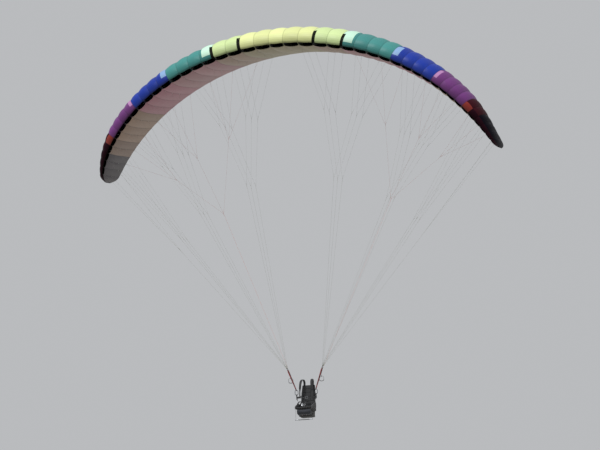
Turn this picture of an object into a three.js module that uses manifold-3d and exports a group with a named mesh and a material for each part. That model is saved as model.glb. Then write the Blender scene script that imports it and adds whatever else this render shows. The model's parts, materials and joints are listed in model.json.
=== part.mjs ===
// A solo paraglider in flight: arched canopy of 45 cells, cascaded lines, risers, brakes and a harness.
// Millimetres, +Z up, nose towards -Y, +X is the pilot's left.
// The origin lies on the chord line of the centre cell, at 30 % of its chord.
import * as THREE from 'three';
import { mergeVertices } from 'three/addons/utils/BufferGeometryUtils.js';
import Module from 'manifold-3d';

const wasm = await Module();
wasm.setup();

// Canopy
const HALF_SPAN = 4550;
const ARCH_DROP = 2660;
const ARCH_ANGLE = THREE.MathUtils.degToRad(72.5);
const ROOT_CHORD = 2750;
const TIP_CHORD = 620;
const CHORD_POWER = 2.4;
const CHORD_REACH = 0.985;
const ORIGIN_SHARE = 0.3;
const TIP_SWEEP = 700;
const SWEEP_POWER = 2.3;
const TIP_CURL = 450;
const CURL_POWER = 10;
const NOSE_DOWN = THREE.MathUtils.degToRad(2);
const CELLS_PER_SIDE = 22;
const CENTRE_CELL_HALF = 0.0265;
const CELL_TAPER = 0.286;
const CELL_BULGE = 0.09;
const TIP_THINS_FROM = 0.72;
const TIP_THINNING = 0.6;
const SECTION_GAP = 0.000027;

// Heights of the rib above and below its chord line, both as shares of the chord
const UPPER = [[0.01, 0.035], [0.04, 0.068], [0.1, 0.098], [0.2, 0.118], [0.3, 0.118],
  [0.45, 0.1], [0.6, 0.075], [0.8, 0.036]];
const LOWER = [[0.01, -0.018], [0.05, -0.035], [0.12, -0.045], [0.3, -0.05], [0.5, -0.042],
  [0.75, -0.02]];
const INLET = {
  from: 0.012, to: 0.05, below: -0.09, top: 0.012, depth: 0.012, margin: 0.12, lastCell: 20,
};
// A cell's swell goes as sqrt(share) * (1 - share), which is greatest at a third of the chord
const SWELL_PEAK = Math.sqrt(1 / 3) * (2 / 3);

// Colour bands, each from one rib to another, counted outwards from the centre cell
const CENTRE_RIBS = 2;
const BANDS = [
  { name: 'lime', from: 2, to: 4, colour: 0xdff0a4 },
  { name: 'green', from: 4, to: 8, colour: 0x4f9fa0 },
  { name: 'blue', from: 8, to: 12, colour: 0x2440a8 },
  { name: 'purple', from: 12, to: 16, colour: 0x8a4a9c },
  { name: 'red', from: 16, to: 18, colour: 0xb8413f },
  { name: 'black', from: 18, to: 22, colour: 0x1d1420 },
];

// Lines: rows of anchors along the chord, and the ribs that each main line serves
const ROWS = { a: 0.12, b: 0.33, c: 0.58 };
const MAIN_GROUPS = [[[1, 3], [5, 7]], [[9, 11], [13, 15]], [[17, 19]]];
const STABILO_ANCHORS = [[21, 0.16], [21, 0.5], [20, 0.74]];
const BRAKE_GROUPS = [[3, 5, 7], [9, 11, 13], [15, 17, 19]];
const BRAKE_SHARE = 0.972;
const MAIN_FORK = 0.6;
const UPPER_FORK = 0.52;
const LINE_SIDES = 4;
const STUB = 14;
const MAIN_RADIUS = 1.2;
const UPPER_RADIUS = 0.9;
const KNOT_RADIUS = 5;
const LINE_SPACING = 2.8;
// Blocks that hold the lines' ends together over a connector
const INSERT = { width: 10, thick: 5, length: 9, linesUp: 4 };
const STABILO_INSERT = { out: 11, up: 2, width: 4, length: 6, linesUp: 2 };
const TAB = { width: 12, thick: 3, out: 22, inside: 8 };
const TOUCH = 0.3;

// Hang points, risers and connectors
const HANG = new THREE.Vector3(220, 50, -7700);
const BAR_RADIUS = 6;
const LOOP_PLAY = 1;
const WEB_THICK = 3;
const LOOP_STEPS = 10;
const RISER_WIDTH = 22;
const RISER_LENGTH = 500;
// Thick sewn blocks over the loop at the bottom: one upright, then one that leans with the strap
const STITCHED = { leanFrom: 16, to: 90, overlap: 12, plies: 4, uprightPlies: 3.5 };
const EYE_PLAY = 1;
const MAILLON = { halfWidth: 8, height: 34, wire: 2, corner: 3 };
const PULLEY = { up: 380, behind: 26, radius: 12, width: 8, tape: { width: 12, thick: 2 } };
const CHEEK = { thick: 2, length: 15, height: 19, out: 4.5 };

// Brake handles and carabiners
const HANDLE = { width: 100, height: 120, cord: 7, below: 52, corner: 38 };
const COLLAR = { top: 6, bottom: 9, height: 22, down: 4 };
const CARABINER = { halfWidth: 34, height: 95, corner: 18 };
const SLEEVE = { radius: BAR_RADIUS + 2, height: 42, up: 4 };

// Harness, measured from the middle between the hang points
const SEAT_SHIFT = -133;
const WEB_AT = 110;
const BOARD = { halfWidth: 170, length: 364, thick: 12, y: 160, z: -455, tilt: 10 };
const BACK = { halfWidth: 160, length: 579, thick: 30, y: 172, z: -428, recline: 20, bevel: 10 };
const SHELL = { halfWidth: 196, wall: 15, pan: 14, web: 5, bevel: 5, cut: 60, tall: 220 };
const PROTECTOR = { halfWidth: 165, under: 125, behind: 92, bevel: 22 };
const CONTAINER = { halfWidth: 158, bevel: 14 };
const GRIP = { forward: 190, down: -20, halfWidth: 52, halfHeight: 20, corner: 14, radius: 5 };
const HARNESS_WEB = 25;
const WEB_CLEAR = 5.3;
const CHEST_DOWN = 165;
const CHEST_PAST = 8;
const BUCKLE = { width: 62, thick: 12, height: 44, ahead: 4 };
const STRAP = { width: 42, thick: 4 };
const SPEED_BAR = { radius: 8, cord: 2.5, drop: 245, inset: 12, knot: 5, forward: 359.8, down: 28 };

// Side outlines of the harness as [forward, down] from the seat board's rear edge
const WALL_TOP = [[2, -150], [60, -150], [170, -110], [280, -70], [345, -30]];
// Shoulder strap from the top of the back to the chest, as [out, back, up] from the harness's middle
const SHOULDER_PATH = [[100, 372, 222], [108, 300, 240], [116, 225, 222], [124, 160, 165],
  [132, 126, 70], [142, 119, -50]];
// Leg strap from the wall over the thigh to the board's front edge, as [out, forward, down]
const THIGH_PATH = [[176, 262, -40], [160, 265, -98], [130, 272, -132], [92, 284, -146],
  [56, 306, -132], [32, 340, -85]];

const point = (x, y, z) => new THREE.Vector3(x, y, z);
const UP = point(0, 0, 1);
const LEFT = point(1, 0, 0);
const BACKWARD = point(0, 1, 0);

// Closed skin over a row of rings; each ring runs counter-clockwise about the way from ring to ring
function loft(rings, capFaces, loop = false) {
  const size = rings[0].length;
  const index = [];
  const spans = loop ? rings.length : rings.length - 1;
  for (let r = 0; r < spans; r++) {
    const here = r * size;
    const next = ((r + 1) % rings.length) * size;
    for (let k = 0; k < size; k++) {
      const side = (k + 1) % size;
      index.push(here + k, here + side, next + side, here + k, next + side, next + k);
    }
  }
  if (!loop) {
    const end = (rings.length - 1) * size;
    for (const [i, j, k] of capFaces) index.push(i, k, j, end + i, end + j, end + k);
  }
  const geometry = new THREE.BufferGeometry();
  const corners = rings.flat().flatMap((p) => [p.x, p.y, p.z]);
  geometry.setAttribute('position', new THREE.Float32BufferAttribute(corners, 3));
  geometry.setIndex(index);
  return geometry;
}

const fan = (size) => Array.from({ length: size - 2 }, (_, k) => [0, k + 1, k + 2]);

function solid(geometry) {
  const plain = geometry.clone();
  plain.deleteAttribute('normal');
  plain.deleteAttribute('uv');
  const merged = mergeVertices(plain, 1e-4);
  return new wasm.Manifold(new wasm.Mesh({
    numProp: 3,
    vertProperties: new Float32Array(merged.attributes.position.array),
    triVerts: new Uint32Array(merged.index.array),
  }));
}

const join = (geometries) => geometries.map(solid).reduce((whole, next) => whole.add(next));

function toGeometry(manifold) {
  const mesh = manifold.getMesh();
  const geometry = new THREE.BufferGeometry();
  geometry.setAttribute('position', new THREE.BufferAttribute(mesh.vertProperties, 3));
  geometry.setIndex(new THREE.BufferAttribute(mesh.triVerts, 1));
  return geometry;
}

// Straight rod from one point to another, with a ring of its own near each end that meets a knot
function rod(from, to, radius, sides = LINE_SIDES, stubs = [STUB, STUB]) {
  const along = to.clone().sub(from);
  const length = along.length();
  along.normalize();
  const across = (Math.abs(along.x) < 0.7 ? LEFT : UP).clone().cross(along).normalize();
  const other = along.clone().cross(across);
  const ring = (distance) => Array.from({ length: sides }, (_, k) => {
    const turn = (2 * Math.PI * (k + 0.5)) / sides;
    return from.clone().addScaledVector(along, distance)
      .addScaledVector(across, radius * Math.cos(turn))
      .addScaledVector(other, radius * Math.sin(turn));
  });
  const stations = [0, stubs[0], length - stubs[1], length];
  return loft([...new Set(stations)].map(ring), fan(sides));
}

// Flat band through points; widths gives the direction of its width at each of them
function band(points, widths, width, thick, loop = false) {
  const last = points.length - 1;
  const rings = points.map((p, i) => {
    const before = points[i > 0 ? i - 1 : (loop ? last : 0)];
    const after = points[i < last ? i + 1 : (loop ? 0 : last)];
    const along = after.clone().sub(before).normalize();
    const side = (Array.isArray(widths) ? widths[i] : widths).clone();
    side.addScaledVector(along, -side.dot(along)).normalize();
    const face = along.clone().cross(side);
    const corner = (a, b) => p.clone()
      .addScaledVector(side, (a * width) / 2)
      .addScaledVector(face, (b * thick) / 2);
    return [corner(-1, -1), corner(1, -1), corner(1, 1), corner(-1, 1)];
  });
  return loft(rings, fan(4), loop);
}

const smoothPath = (points, steps) => new THREE.CatmullRomCurve3(points).getPoints(steps);

// Closed tube round a rounded rectangle that lies in the plane of the two directions
function link(centre, across, upward, halfWidth, halfHeight, corner, radius, sides = 8, steps = 3) {
  const outline = [];
  for (const [sx, sy, start] of [[1, 1, 0], [-1, 1, 90], [-1, -1, 180], [1, -1, 270]]) {
    for (let k = 0; k <= steps; k++) {
      const turn = THREE.MathUtils.degToRad(start + (90 * k) / steps);
      outline.push([sx * (halfWidth - corner) + corner * Math.cos(turn),
        sy * (halfHeight - corner) + corner * Math.sin(turn)]);
    }
  }
  const normal = across.clone().cross(upward).normalize();
  const path = outline.map(([a, b]) => centre.clone().addScaledVector(across, a)
    .addScaledVector(upward, b));
  const rings = path.map((p, i) => {
    const before = path[(i + path.length - 1) % path.length];
    const after = path[(i + 1) % path.length];
    const along = after.clone().sub(before).normalize();
    const out = along.clone().cross(normal);
    return Array.from({ length: sides }, (_, k) => {
      const turn = (2 * Math.PI * k) / sides;
      return p.clone().addScaledVector(out, radius * Math.sin(turn))
        .addScaledVector(normal, radius * Math.cos(turn));
    });
  });
  return loft(rings, [], true);
}

// Webbing loop round a bar that runs along axis
function webLoop(centre, inner, outer, width, axis = LEFT) {
  const section = [[inner, -1], [outer, -1], [outer, 1], [inner, 1]];
  const sideways = axis.clone().cross(UP).normalize();
  const upward = sideways.clone().cross(axis);
  const rings = Array.from({ length: LOOP_STEPS }, (_, k) => {
    const turn = (2 * Math.PI * k) / LOOP_STEPS;
    const out = sideways.clone().multiplyScalar(Math.cos(turn))
      .addScaledVector(upward, Math.sin(turn));
    return section.map(([r, half]) => centre.clone().addScaledVector(out, r)
      .addScaledVector(axis, (half * width) / 2));
  });
  return loft(rings, [], true);
}

// Solid of a side view (y, z), centred on x = 0
function sideSolid(outline, halfWidth, bevel, segments = 2) {
  const shape = new THREE.Shape(outline.map(([y, z]) => new THREE.Vector2(y, z)));
  const geometry = new THREE.ExtrudeGeometry(shape, {
    depth: 2 * (halfWidth - bevel), bevelEnabled: bevel > 0, bevelThickness: bevel,
    bevelSize: bevel, bevelOffset: -bevel, bevelSegments: segments, curveSegments: 4,
  });
  geometry.translate(0, 0, bevel - halfWidth);
  return geometry.applyMatrix4(new THREE.Matrix4().makeBasis(BACKWARD, UP, LEFT));
}

// Canopy shape
function ribPlace(rib) {
  const share = rib / CELLS_PER_SIDE;
  const spread = (1 + CELL_TAPER) * share - CELL_TAPER * share * share;
  return CENTRE_CELL_HALF + (1 - CENTRE_CELL_HALF) * spread;
}

const RIGHT_CENTRE_RIB = CELLS_PER_SIDE;
const RIBS = [
  ...Array.from({ length: CELLS_PER_SIDE + 1 }, (_, k) => -ribPlace(CELLS_PER_SIDE - k)),
  ...Array.from({ length: CELLS_PER_SIDE + 1 }, (_, k) => ribPlace(k)),
];
const ribIndex = (side, rib) => (side > 0 ? RIGHT_CENTRE_RIB + 1 + rib : RIGHT_CENTRE_RIB - rib);

function chordAt(t) {
  const fall = Math.pow(CHORD_REACH * Math.abs(t), CHORD_POWER);
  return TIP_CHORD + (ROOT_CHORD - TIP_CHORD) * Math.sqrt(1 - fall);
}

// How far the leading edge has run back: gently across the span, then curled back at the tips
function sweepAt(t) {
  const out = Math.abs(t);
  return TIP_SWEEP * Math.pow(out, SWEEP_POWER) + TIP_CURL * Math.pow(out, CURL_POWER);
}

function thicknessAt(t) {
  const out = Math.max(0, (Math.abs(t) - TIP_THINS_FROM) / (1 - TIP_THINS_FROM));
  return 1 - TIP_THINNING * out * out;
}

function archNormal(t) {
  const turn = t * ARCH_ANGLE;
  const across = (HALF_SPAN * Math.cos(turn)) / Math.sin(ARCH_ANGLE);
  const down = (-ARCH_DROP * Math.sin(turn)) / (1 - Math.cos(ARCH_ANGLE));
  return point(-down, 0, across).normalize();
}

// Point of the canopy: t runs from -1 at the right tip to 1 at the left one
function wingPoint(t, share, height, lift = 0) {
  const turn = t * ARCH_ANGLE;
  const chord = chordAt(t);
  const place = point(
    (HALF_SPAN * Math.sin(turn)) / Math.sin(ARCH_ANGLE),
    -ORIGIN_SHARE * ROOT_CHORD + sweepAt(t) + share * chord,
    (-ARCH_DROP * (1 - Math.cos(turn))) / (1 - Math.cos(ARCH_ANGLE)),
  );
  place.addScaledVector(archNormal(t), height * chord * thicknessAt(t) + lift);
  place.z += Math.tan(NOSE_DOWN) * place.y;
  return place;
}

function heightAt(profile, share) {
  const knots = [[0, 0], ...profile, [1, 0]];
  const k = knots.findIndex(([s]) => s >= share);
  if (k === 0) return knots[0][1];
  const [s0, h0] = knots[k - 1];
  const [s1, h1] = knots[k];
  return h0 + ((h1 - h0) * (share - s0)) / (s1 - s0);
}

// Ring at one station, from the nose along the lower side to the tail and back over the top
const PROFILE = [[0, 0, 0], ...LOWER.map(([s, h]) => [s, h, -1]), [1, 0, 0],
  ...UPPER.slice().reverse().map(([s, h]) => [s, h, 1])];
const PROFILE_CAP = THREE.ShapeUtils.triangulateShape(
  PROFILE.map(([s, h]) => new THREE.Vector2(s, h)), []);

function wingRing(t, bulge) {
  return PROFILE.map(([share, height, side]) => {
    const swell = (Math.sqrt(share) * (1 - share)) / SWELL_PEAK;
    return wingPoint(t, share, height, side * bulge * swell);
  });
}

function inletCutter(t0, t1) {
  const near = t0 + INLET.margin * (t1 - t0);
  const far = t1 - INLET.margin * (t1 - t0);
  const ring = (t) => [
    wingPoint(t, INLET.from, INLET.below),
    wingPoint(t, INLET.to, INLET.below),
    wingPoint(t, INLET.to + INLET.depth, 0),
    wingPoint(t, INLET.from + INLET.depth, INLET.top),
  ];
  return loft([ring(near), ring(far)], fan(4));
}

function canopySection(first, last, tabs) {
  const rings = [];
  for (let r = first; r < last; r++) {
    const start = RIBS[r] + (r === first ? SECTION_GAP : 0);
    const middle = (RIBS[r] + RIBS[r + 1]) / 2;
    const width = wingPoint(RIBS[r], 0, 0).distanceTo(wingPoint(RIBS[r + 1], 0, 0));
    rings.push(wingRing(start, 0), wingRing(middle, width * CELL_BULGE * thicknessAt(middle)));
  }
  rings.push(wingRing(RIBS[last] - SECTION_GAP, 0));
  let whole = solid(loft(rings, PROFILE_CAP));
  for (let r = first; r < last; r++) {
    const outward = Math.max(RIGHT_CENTRE_RIB - r, r - RIGHT_CENTRE_RIB);
    if (outward <= INLET.lastCell) {
      whole = whole.subtract(solid(inletCutter(RIBS[r], RIBS[r + 1])));
    }
  }
  for (const tab of tabs) whole = whole.add(solid(tab));
  return toGeometry(whole);
}

// Lines
const middleOf = (points) => points.reduce((sum, p) => sum.add(p), point(0, 0, 0))
  .divideScalar(points.length);

function anchorPoint(side, rib, share) {
  const t = RIBS[ribIndex(side, rib)];
  return { rib, foot: wingPoint(t, share, heightAt(LOWER, share)) };
}

// Tab of webbing sewn to the canopy, pointing down its line
function anchorTab(foot, fork) {
  const along = fork.clone().sub(foot).normalize();
  return band([foot.clone().addScaledVector(along, -TAB.inside),
    foot.clone().addScaledVector(along, TAB.out)], BACKWARD, TAB.width, TAB.thick);
}

// Starts of the lines that leave a knot side by side, one towards each target
function spreadStarts(from, targets) {
  const along = middleOf(targets).sub(from).normalize();
  const across = targets[targets.length - 1].clone().sub(targets[0]);
  across.addScaledVector(along, -across.dot(along)).normalize();
  const middle = (targets.length - 1) / 2;
  return targets.map((_, k) => from.clone().addScaledVector(across, (k - middle) * LINE_SPACING));
}

const knot = (p) => new THREE.OctahedronGeometry(KNOT_RADIUS).translate(p.x, p.y, p.z);
const feet = (anchors) => anchors.map(({ foot }) => foot);

// Lines from a knot to its anchors, each ending just short of its tab
function gallery(split, anchors) {
  const starts = spreadStarts(split, feet(anchors));
  const rods = anchors.map(({ foot }, k) => {
    const along = split.clone().sub(foot).normalize();
    return rod(starts[k], foot.clone().addScaledVector(along, TAB.out + TOUCH), UPPER_RADIUS,
      LINE_SIDES, [STUB, 0]);
  });
  const tabs = anchors.map(({ rib, foot }) => ({ rib, tab: anchorTab(foot, split) }));
  return { rods: [knot(split), ...rods], tabs };
}

// One main line from its start to a fork, and on from there to its groups of anchors
function lineTree(start, groups) {
  const fork = start.clone().lerp(middleOf(feet(groups.flat())), MAIN_FORK);
  const trunk = rod(start, fork, MAIN_RADIUS);
  if (groups.length === 1) {
    const { rods, tabs } = gallery(fork, groups[0]);
    return { rods: [trunk, ...rods], tabs };
  }
  const splits = groups.map((group) => fork.clone().lerp(middleOf(feet(group)), UPPER_FORK));
  const starts = spreadStarts(fork, splits);
  const fans = groups.map((group, k) => gallery(splits[k], group));
  const branches = splits.map((split, k) => rod(starts[k], split, UPPER_RADIUS));
  return {
    rods: [trunk, knot(fork), ...branches, ...fans.flatMap(({ rods }) => rods)],
    tabs: fans.flatMap(({ tabs }) => tabs),
  };
}

function rowDirection(side, row) {
  const ribs = MAIN_GROUPS.flat(2);
  const hang = point(side * HANG.x, HANG.y, HANG.z);
  const target = middleOf(ribs.map((rib) => anchorPoint(side, rib, ROWS[row]).foot));
  return target.sub(hang).normalize();
}

// Direction square to the riser and as near to X as it can be
const acrossOf = (up) => LEFT.clone().addScaledVector(up, -LEFT.dot(up)).normalize();

function riserTop(side, row) {
  return point(side * HANG.x, HANG.y, HANG.z)
    .addScaledVector(rowDirection(side, row), RISER_LENGTH);
}

// Height of the connector's upper bar over the riser's end
const LINES_UP = MAILLON.height - 2 * MAILLON.wire;

function rowLines(side, row) {
  const up = rowDirection(side, row);
  const seat = riserTop(side, row).addScaledVector(up, LINES_UP + MAILLON.wire + TOUCH);
  const insert = band([seat, seat.clone().addScaledVector(up, INSERT.length)], LEFT,
    INSERT.width, INSERT.thick);
  const rods = [insert];
  const tabs = [];
  MAIN_GROUPS.forEach((groups, k) => {
    const start = seat.clone().addScaledVector(up, INSERT.linesUp)
      .add(point(side * (k - 1) * LINE_SPACING, 0, 0));
    const anchors = groups.map((pair) => pair.map((rib) => anchorPoint(side, rib, ROWS[row])));
    const tree = lineTree(start, anchors);
    rods.push(...tree.rods);
    tabs.push(...tree.tabs);
  });
  return { geometry: toGeometry(join(rods)), tabs };
}

function stabiloLines(side) {
  const up = rowDirection(side, 'b');
  const over = LINES_UP + MAILLON.wire + TOUCH + STABILO_INSERT.up;
  const seat = riserTop(side, 'b').addScaledVector(up, over)
    .add(point(side * STABILO_INSERT.out, 0, 0));
  const insert = band([seat, seat.clone().addScaledVector(up, STABILO_INSERT.length)], LEFT,
    STABILO_INSERT.width, INSERT.thick);
  const anchors = STABILO_ANCHORS.map(([rib, share]) => anchorPoint(side, rib, share));
  const tree = lineTree(seat.clone().addScaledVector(up, STABILO_INSERT.linesUp), [anchors]);
  return { geometry: toGeometry(join([insert, ...tree.rods])), tabs: tree.tabs };
}

function pulleyCentre(side) {
  return point(side * HANG.x, HANG.y, HANG.z)
    .addScaledVector(rowDirection(side, 'c'), PULLEY.up)
    .add(point(0, PULLEY.behind, 0));
}

function brakeLines(side) {
  const start = pulleyCentre(side).add(point(0, 0, PULLEY.radius + TOUCH + MAIN_RADIUS));
  const groups = BRAKE_GROUPS.map((ribs) => ribs.map((rib) => anchorPoint(side, rib, BRAKE_SHARE)));
  const tree = lineTree(start, groups);
  return { geometry: toGeometry(join(tree.rods)), tabs: tree.tabs };
}

// Risers: three straps sewn into one loop at the bottom
function riserSet(side) {
  const hang = point(side * HANG.x, HANG.y, HANG.z);
  const inner = BAR_RADIUS + LOOP_PLAY;
  const pieces = [webLoop(hang, inner, inner + WEB_THICK, RISER_WIDTH)];
  for (const row of Object.keys(ROWS)) {
    const up = rowDirection(side, row);
    const eye = riserTop(side, row);
    const bar = MAILLON.wire + TOUCH;
    pieces.push(band([hang.clone().addScaledVector(up, STITCHED.leanFrom),
      eye.clone().addScaledVector(up, -bar - EYE_PLAY)], LEFT, RISER_WIDTH, WEB_THICK));
    pieces.push(webLoop(eye, bar, bar + WEB_THICK - EYE_PLAY,
      2 * (MAILLON.halfWidth - MAILLON.corner), acrossOf(up)));
  }
  const middle = rowDirection(side, 'b');
  pieces.push(band([hang.clone().addScaledVector(UP, inner + 1),
    hang.clone().addScaledVector(UP, STITCHED.leanFrom + STITCHED.overlap)], LEFT,
  RISER_WIDTH - 1, STITCHED.uprightPlies * WEB_THICK));
  pieces.push(band([hang.clone().addScaledVector(middle, STITCHED.leanFrom - 1),
    hang.clone().addScaledVector(middle, STITCHED.to)], LEFT,
  RISER_WIDTH + 2, STITCHED.plies * WEB_THICK));
  const pulley = pulleyCentre(side);
  pieces.push(band([pulley.clone().add(point(0, -PULLEY.behind, 0)),
    pulley.clone().add(point(0, -PULLEY.radius - TOUCH, 0))], LEFT,
  PULLEY.tape.width, PULLEY.tape.thick));
  return toGeometry(join(pieces));
}

function maillon(side, row) {
  const up = rowDirection(side, row);
  const half = LINES_UP / 2;
  const centre = riserTop(side, row).addScaledVector(up, half);
  return link(centre, acrossOf(up), up, MAILLON.halfWidth, half, MAILLON.corner, MAILLON.wire, 6, 2);
}

function pulley(side) {
  const centre = pulleyCentre(side);
  const wheel = new THREE.CylinderGeometry(PULLEY.radius, PULLEY.radius, PULLEY.width, 14)
    .rotateZ(Math.PI / 2);
  const cheek = (x) => new THREE.BoxGeometry(CHEEK.thick, CHEEK.length, CHEEK.height)
    .translate(x, 0, 0);
  return toGeometry(join([wheel, cheek(-CHEEK.out), cheek(CHEEK.out)]))
    .translate(centre.x, centre.y, centre.z);
}

// Brake handle: a webbing loop for the hand, hung on its line under the pulley
function brakeHandle(side) {
  const top = pulleyCentre(side).add(point(0, 0, -PULLEY.radius - TOUCH));
  const tie = top.clone().add(point(0, 0, -HANDLE.below));
  const centre = tie.clone().add(point(0, 0, -HANDLE.height / 2));
  const loop = link(centre, LEFT, UP, HANDLE.width / 2, HANDLE.height / 2 - HANDLE.cord,
    HANDLE.corner, HANDLE.cord, 6, 3);
  const collar = new THREE.CylinderGeometry(COLLAR.top, COLLAR.bottom, COLLAR.height, 8)
    .rotateX(Math.PI / 2).translate(tie.x, tie.y, tie.z - COLLAR.down);
  return toGeometry(join([rod(top, tie, MAIN_RADIUS), collar, loop]));
}

function carabiner(side) {
  const centre = point(side * HANG.x, HANG.y, HANG.z - CARABINER.height / 2);
  const body = link(centre, LEFT, UP, CARABINER.halfWidth, CARABINER.height / 2,
    CARABINER.corner, BAR_RADIUS, 8, 3);
  const sleeve = new THREE.CylinderGeometry(SLEEVE.radius, SLEEVE.radius, SLEEVE.height, 12)
    .rotateX(Math.PI / 2)
    .translate(centre.x + side * CARABINER.halfWidth, centre.y, centre.z + SLEEVE.up);
  return toGeometry(join([body, sleeve]));
}

// Harness frame: points along the seat board and along the back, in the side view
const tilt = THREE.MathUtils.degToRad(BOARD.tilt);
const recline = THREE.MathUtils.degToRad(BACK.recline);
function seatAt(forward, down) {
  return [HANG.y + SEAT_SHIFT + BOARD.y - forward * Math.cos(tilt) - down * Math.sin(tilt),
    HANG.z + BOARD.z + forward * Math.sin(tilt) - down * Math.cos(tilt)];
}
function backAt(upward, behind) {
  return [HANG.y + SEAT_SHIFT + BACK.y + upward * Math.sin(recline) + behind * Math.cos(recline),
    HANG.z + BACK.z + upward * Math.cos(recline) - behind * Math.sin(recline)];
}
const seatPoint = (x, forward, down) => point(x, ...seatAt(forward, down));
const backPoint = (x, upward, behind) => point(x, ...backAt(upward, behind));
const alongSeat = seatPoint(0, 1, 0).sub(seatPoint(0, 0, 0));

function seatBoard() {
  const { length, thick, halfWidth } = BOARD;
  return sideSolid([seatAt(0, 0), seatAt(length, 0), seatAt(length, thick), seatAt(0, thick)],
    halfWidth, 0);
}

const PAN_TOP = BOARD.thick + SHELL.web;
const PAN_BOTTOM = PAN_TOP + SHELL.pan;

function seatShell() {
  const outer = sideSolid([seatAt(0, PAN_BOTTOM), ...WALL_TOP.map((p) => seatAt(...p)),
    seatAt(355, PAN_BOTTOM)], SHELL.halfWidth, SHELL.bevel, 1);
  const ahead = BOARD.length + SHELL.cut;
  const inside = sideSolid([seatAt(-SHELL.cut, PAN_TOP), seatAt(-SHELL.cut, -SHELL.tall),
    seatAt(ahead, -SHELL.tall), seatAt(ahead, PAN_TOP)], SHELL.halfWidth - SHELL.wall, 0);
  return toGeometry(solid(outer).subtract(solid(inside)));
}

function backPanel() {
  const { length, thick, halfWidth, bevel } = BACK;
  return sideSolid([backAt(0, 0), backAt(length, 0), backAt(length, thick), backAt(0, thick)],
    halfWidth, bevel);
}

function backProtector() {
  const under = PAN_BOTTOM + TOUCH;
  const behind = BACK.thick + TOUCH;
  return sideSolid([seatAt(205, under), seatAt(0, under), backAt(-10, behind),
    backAt(430, behind), backAt(440, behind + 45), backAt(300, behind + 80),
    backAt(60, behind + PROTECTOR.behind), backAt(-70, behind + PROTECTOR.behind - 20),
    seatAt(-70, under + PROTECTOR.under), seatAt(150, under + PROTECTOR.under),
    seatAt(205, under + 90)], PROTECTOR.halfWidth, PROTECTOR.bevel);
}

function reserveContainer() {
  const under = PAN_BOTTOM + TOUCH;
  return sideSolid([seatAt(208, under), seatAt(208, under + 118), seatAt(320, under + 108),
    seatAt(356, under + 50), seatAt(345, under)], CONTAINER.halfWidth, CONTAINER.bevel);
}

function reserveHandle() {
  const { forward, down, halfWidth, halfHeight, corner, radius } = GRIP;
  const centre = seatPoint(-SHELL.halfWidth - radius - TOUCH, forward, down);
  const upward = point(0, -Math.sin(tilt), Math.cos(tilt));
  return link(centre, alongSeat, upward, halfWidth, halfHeight, corner, radius, 6, 2);
}

function hangWebbing() {
  const inner = BAR_RADIUS + LOOP_PLAY;
  const pieces = [];
  const outside = BOARD.halfWidth + WEB_CLEAR + WEB_THICK / 2;
  const under = BOARD.thick + TOUCH + WEB_THICK / 2;
  const across = alongSeat.clone().negate();
  const half = (side) => {
    const loop = point(side * HANG.x, HANG.y, HANG.z - CARABINER.height);
    const outward = point(side, 0, 0);
    const below = (down) => loop.clone().add(point(0, 0, -down));
    pieces.push(webLoop(loop, inner, inner + WEB_THICK, HARNESS_WEB));
    return [
      [below(inner + 1), outward],
      [below(CHEST_DOWN - CARABINER.height + HARNESS_WEB), outward],
      [below(CHEST_DOWN - CARABINER.height + HARNESS_WEB + 8), outward],
      [seatPoint(side * (outside + 18), WEB_AT, -205), outward.clone().lerp(across, 0.75)],
      [seatPoint(side * outside, WEB_AT, -160), across],
      [seatPoint(side * outside, WEB_AT, under - 4), across],
      [seatPoint(side * (outside - 4), WEB_AT, under), across],
    ];
  };
  const whole = [...half(1), ...half(-1).reverse()];
  pieces.push(band(whole.map(([p]) => p), whole.map(([, w]) => w), HARNESS_WEB, WEB_THICK));
  return toGeometry(join(pieces));
}

function chestStrap() {
  const front = HANG.y - WEB_THICK - TOUCH;
  const height = HANG.z - CHEST_DOWN;
  const reach = HANG.x + CHEST_PAST;
  const strap = band([point(-reach, front, height), point(reach, front, height)],
    UP, HARNESS_WEB, WEB_THICK);
  const buckle = new THREE.BoxGeometry(BUCKLE.width, BUCKLE.thick, BUCKLE.height)
    .translate(0, front - BUCKLE.ahead, height);
  return toGeometry(join([strap, buckle]));
}

// Strap from the top edge of the back, over the shoulder, to the chest strap's front
function shoulderStrap(side) {
  const top = BACK.length + TOUCH;
  const end = point(side * 150, HANG.y - 2 * WEB_THICK - 2 * TOUCH - 1, HANG.z - CHEST_DOWN);
  const path = smoothPath([backPoint(side * 95, top, BACK.thick / 2),
    backPoint(side * 96, top + 60, BACK.thick / 2 - 6),
    ...SHOULDER_PATH.map(([x, y, z]) => point(side * x, HANG.y + SEAT_SHIFT + y, HANG.z + z)),
    end], 26);
  return band(path, LEFT, STRAP.width, STRAP.thick);
}

// Strap from the wall beside the hip, over the thigh, to the board's front edge; it turns as it goes
function legStrap(side) {
  const wall = SHELL.halfWidth - SHELL.wall - TOUCH - STRAP.thick / 2;
  const edge = BOARD.length + TOUCH + STRAP.thick / 2;
  const path = smoothPath([[wall, 262, -12], ...THIGH_PATH, [26, edge, -28], [26, edge, -8],
    [26, edge, 11]]
    .map(([x, forward, down]) => seatPoint(side * x, forward, down)), 26);
  const outward = point(side, 0, 0);
  const widths = path.map((_, k) => alongSeat.clone()
    .lerp(outward, THREE.MathUtils.smoothstep(k / (path.length - 1), 0.4, 0.85)));
  return band(path, widths, STRAP.width, STRAP.thick);
}

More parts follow.
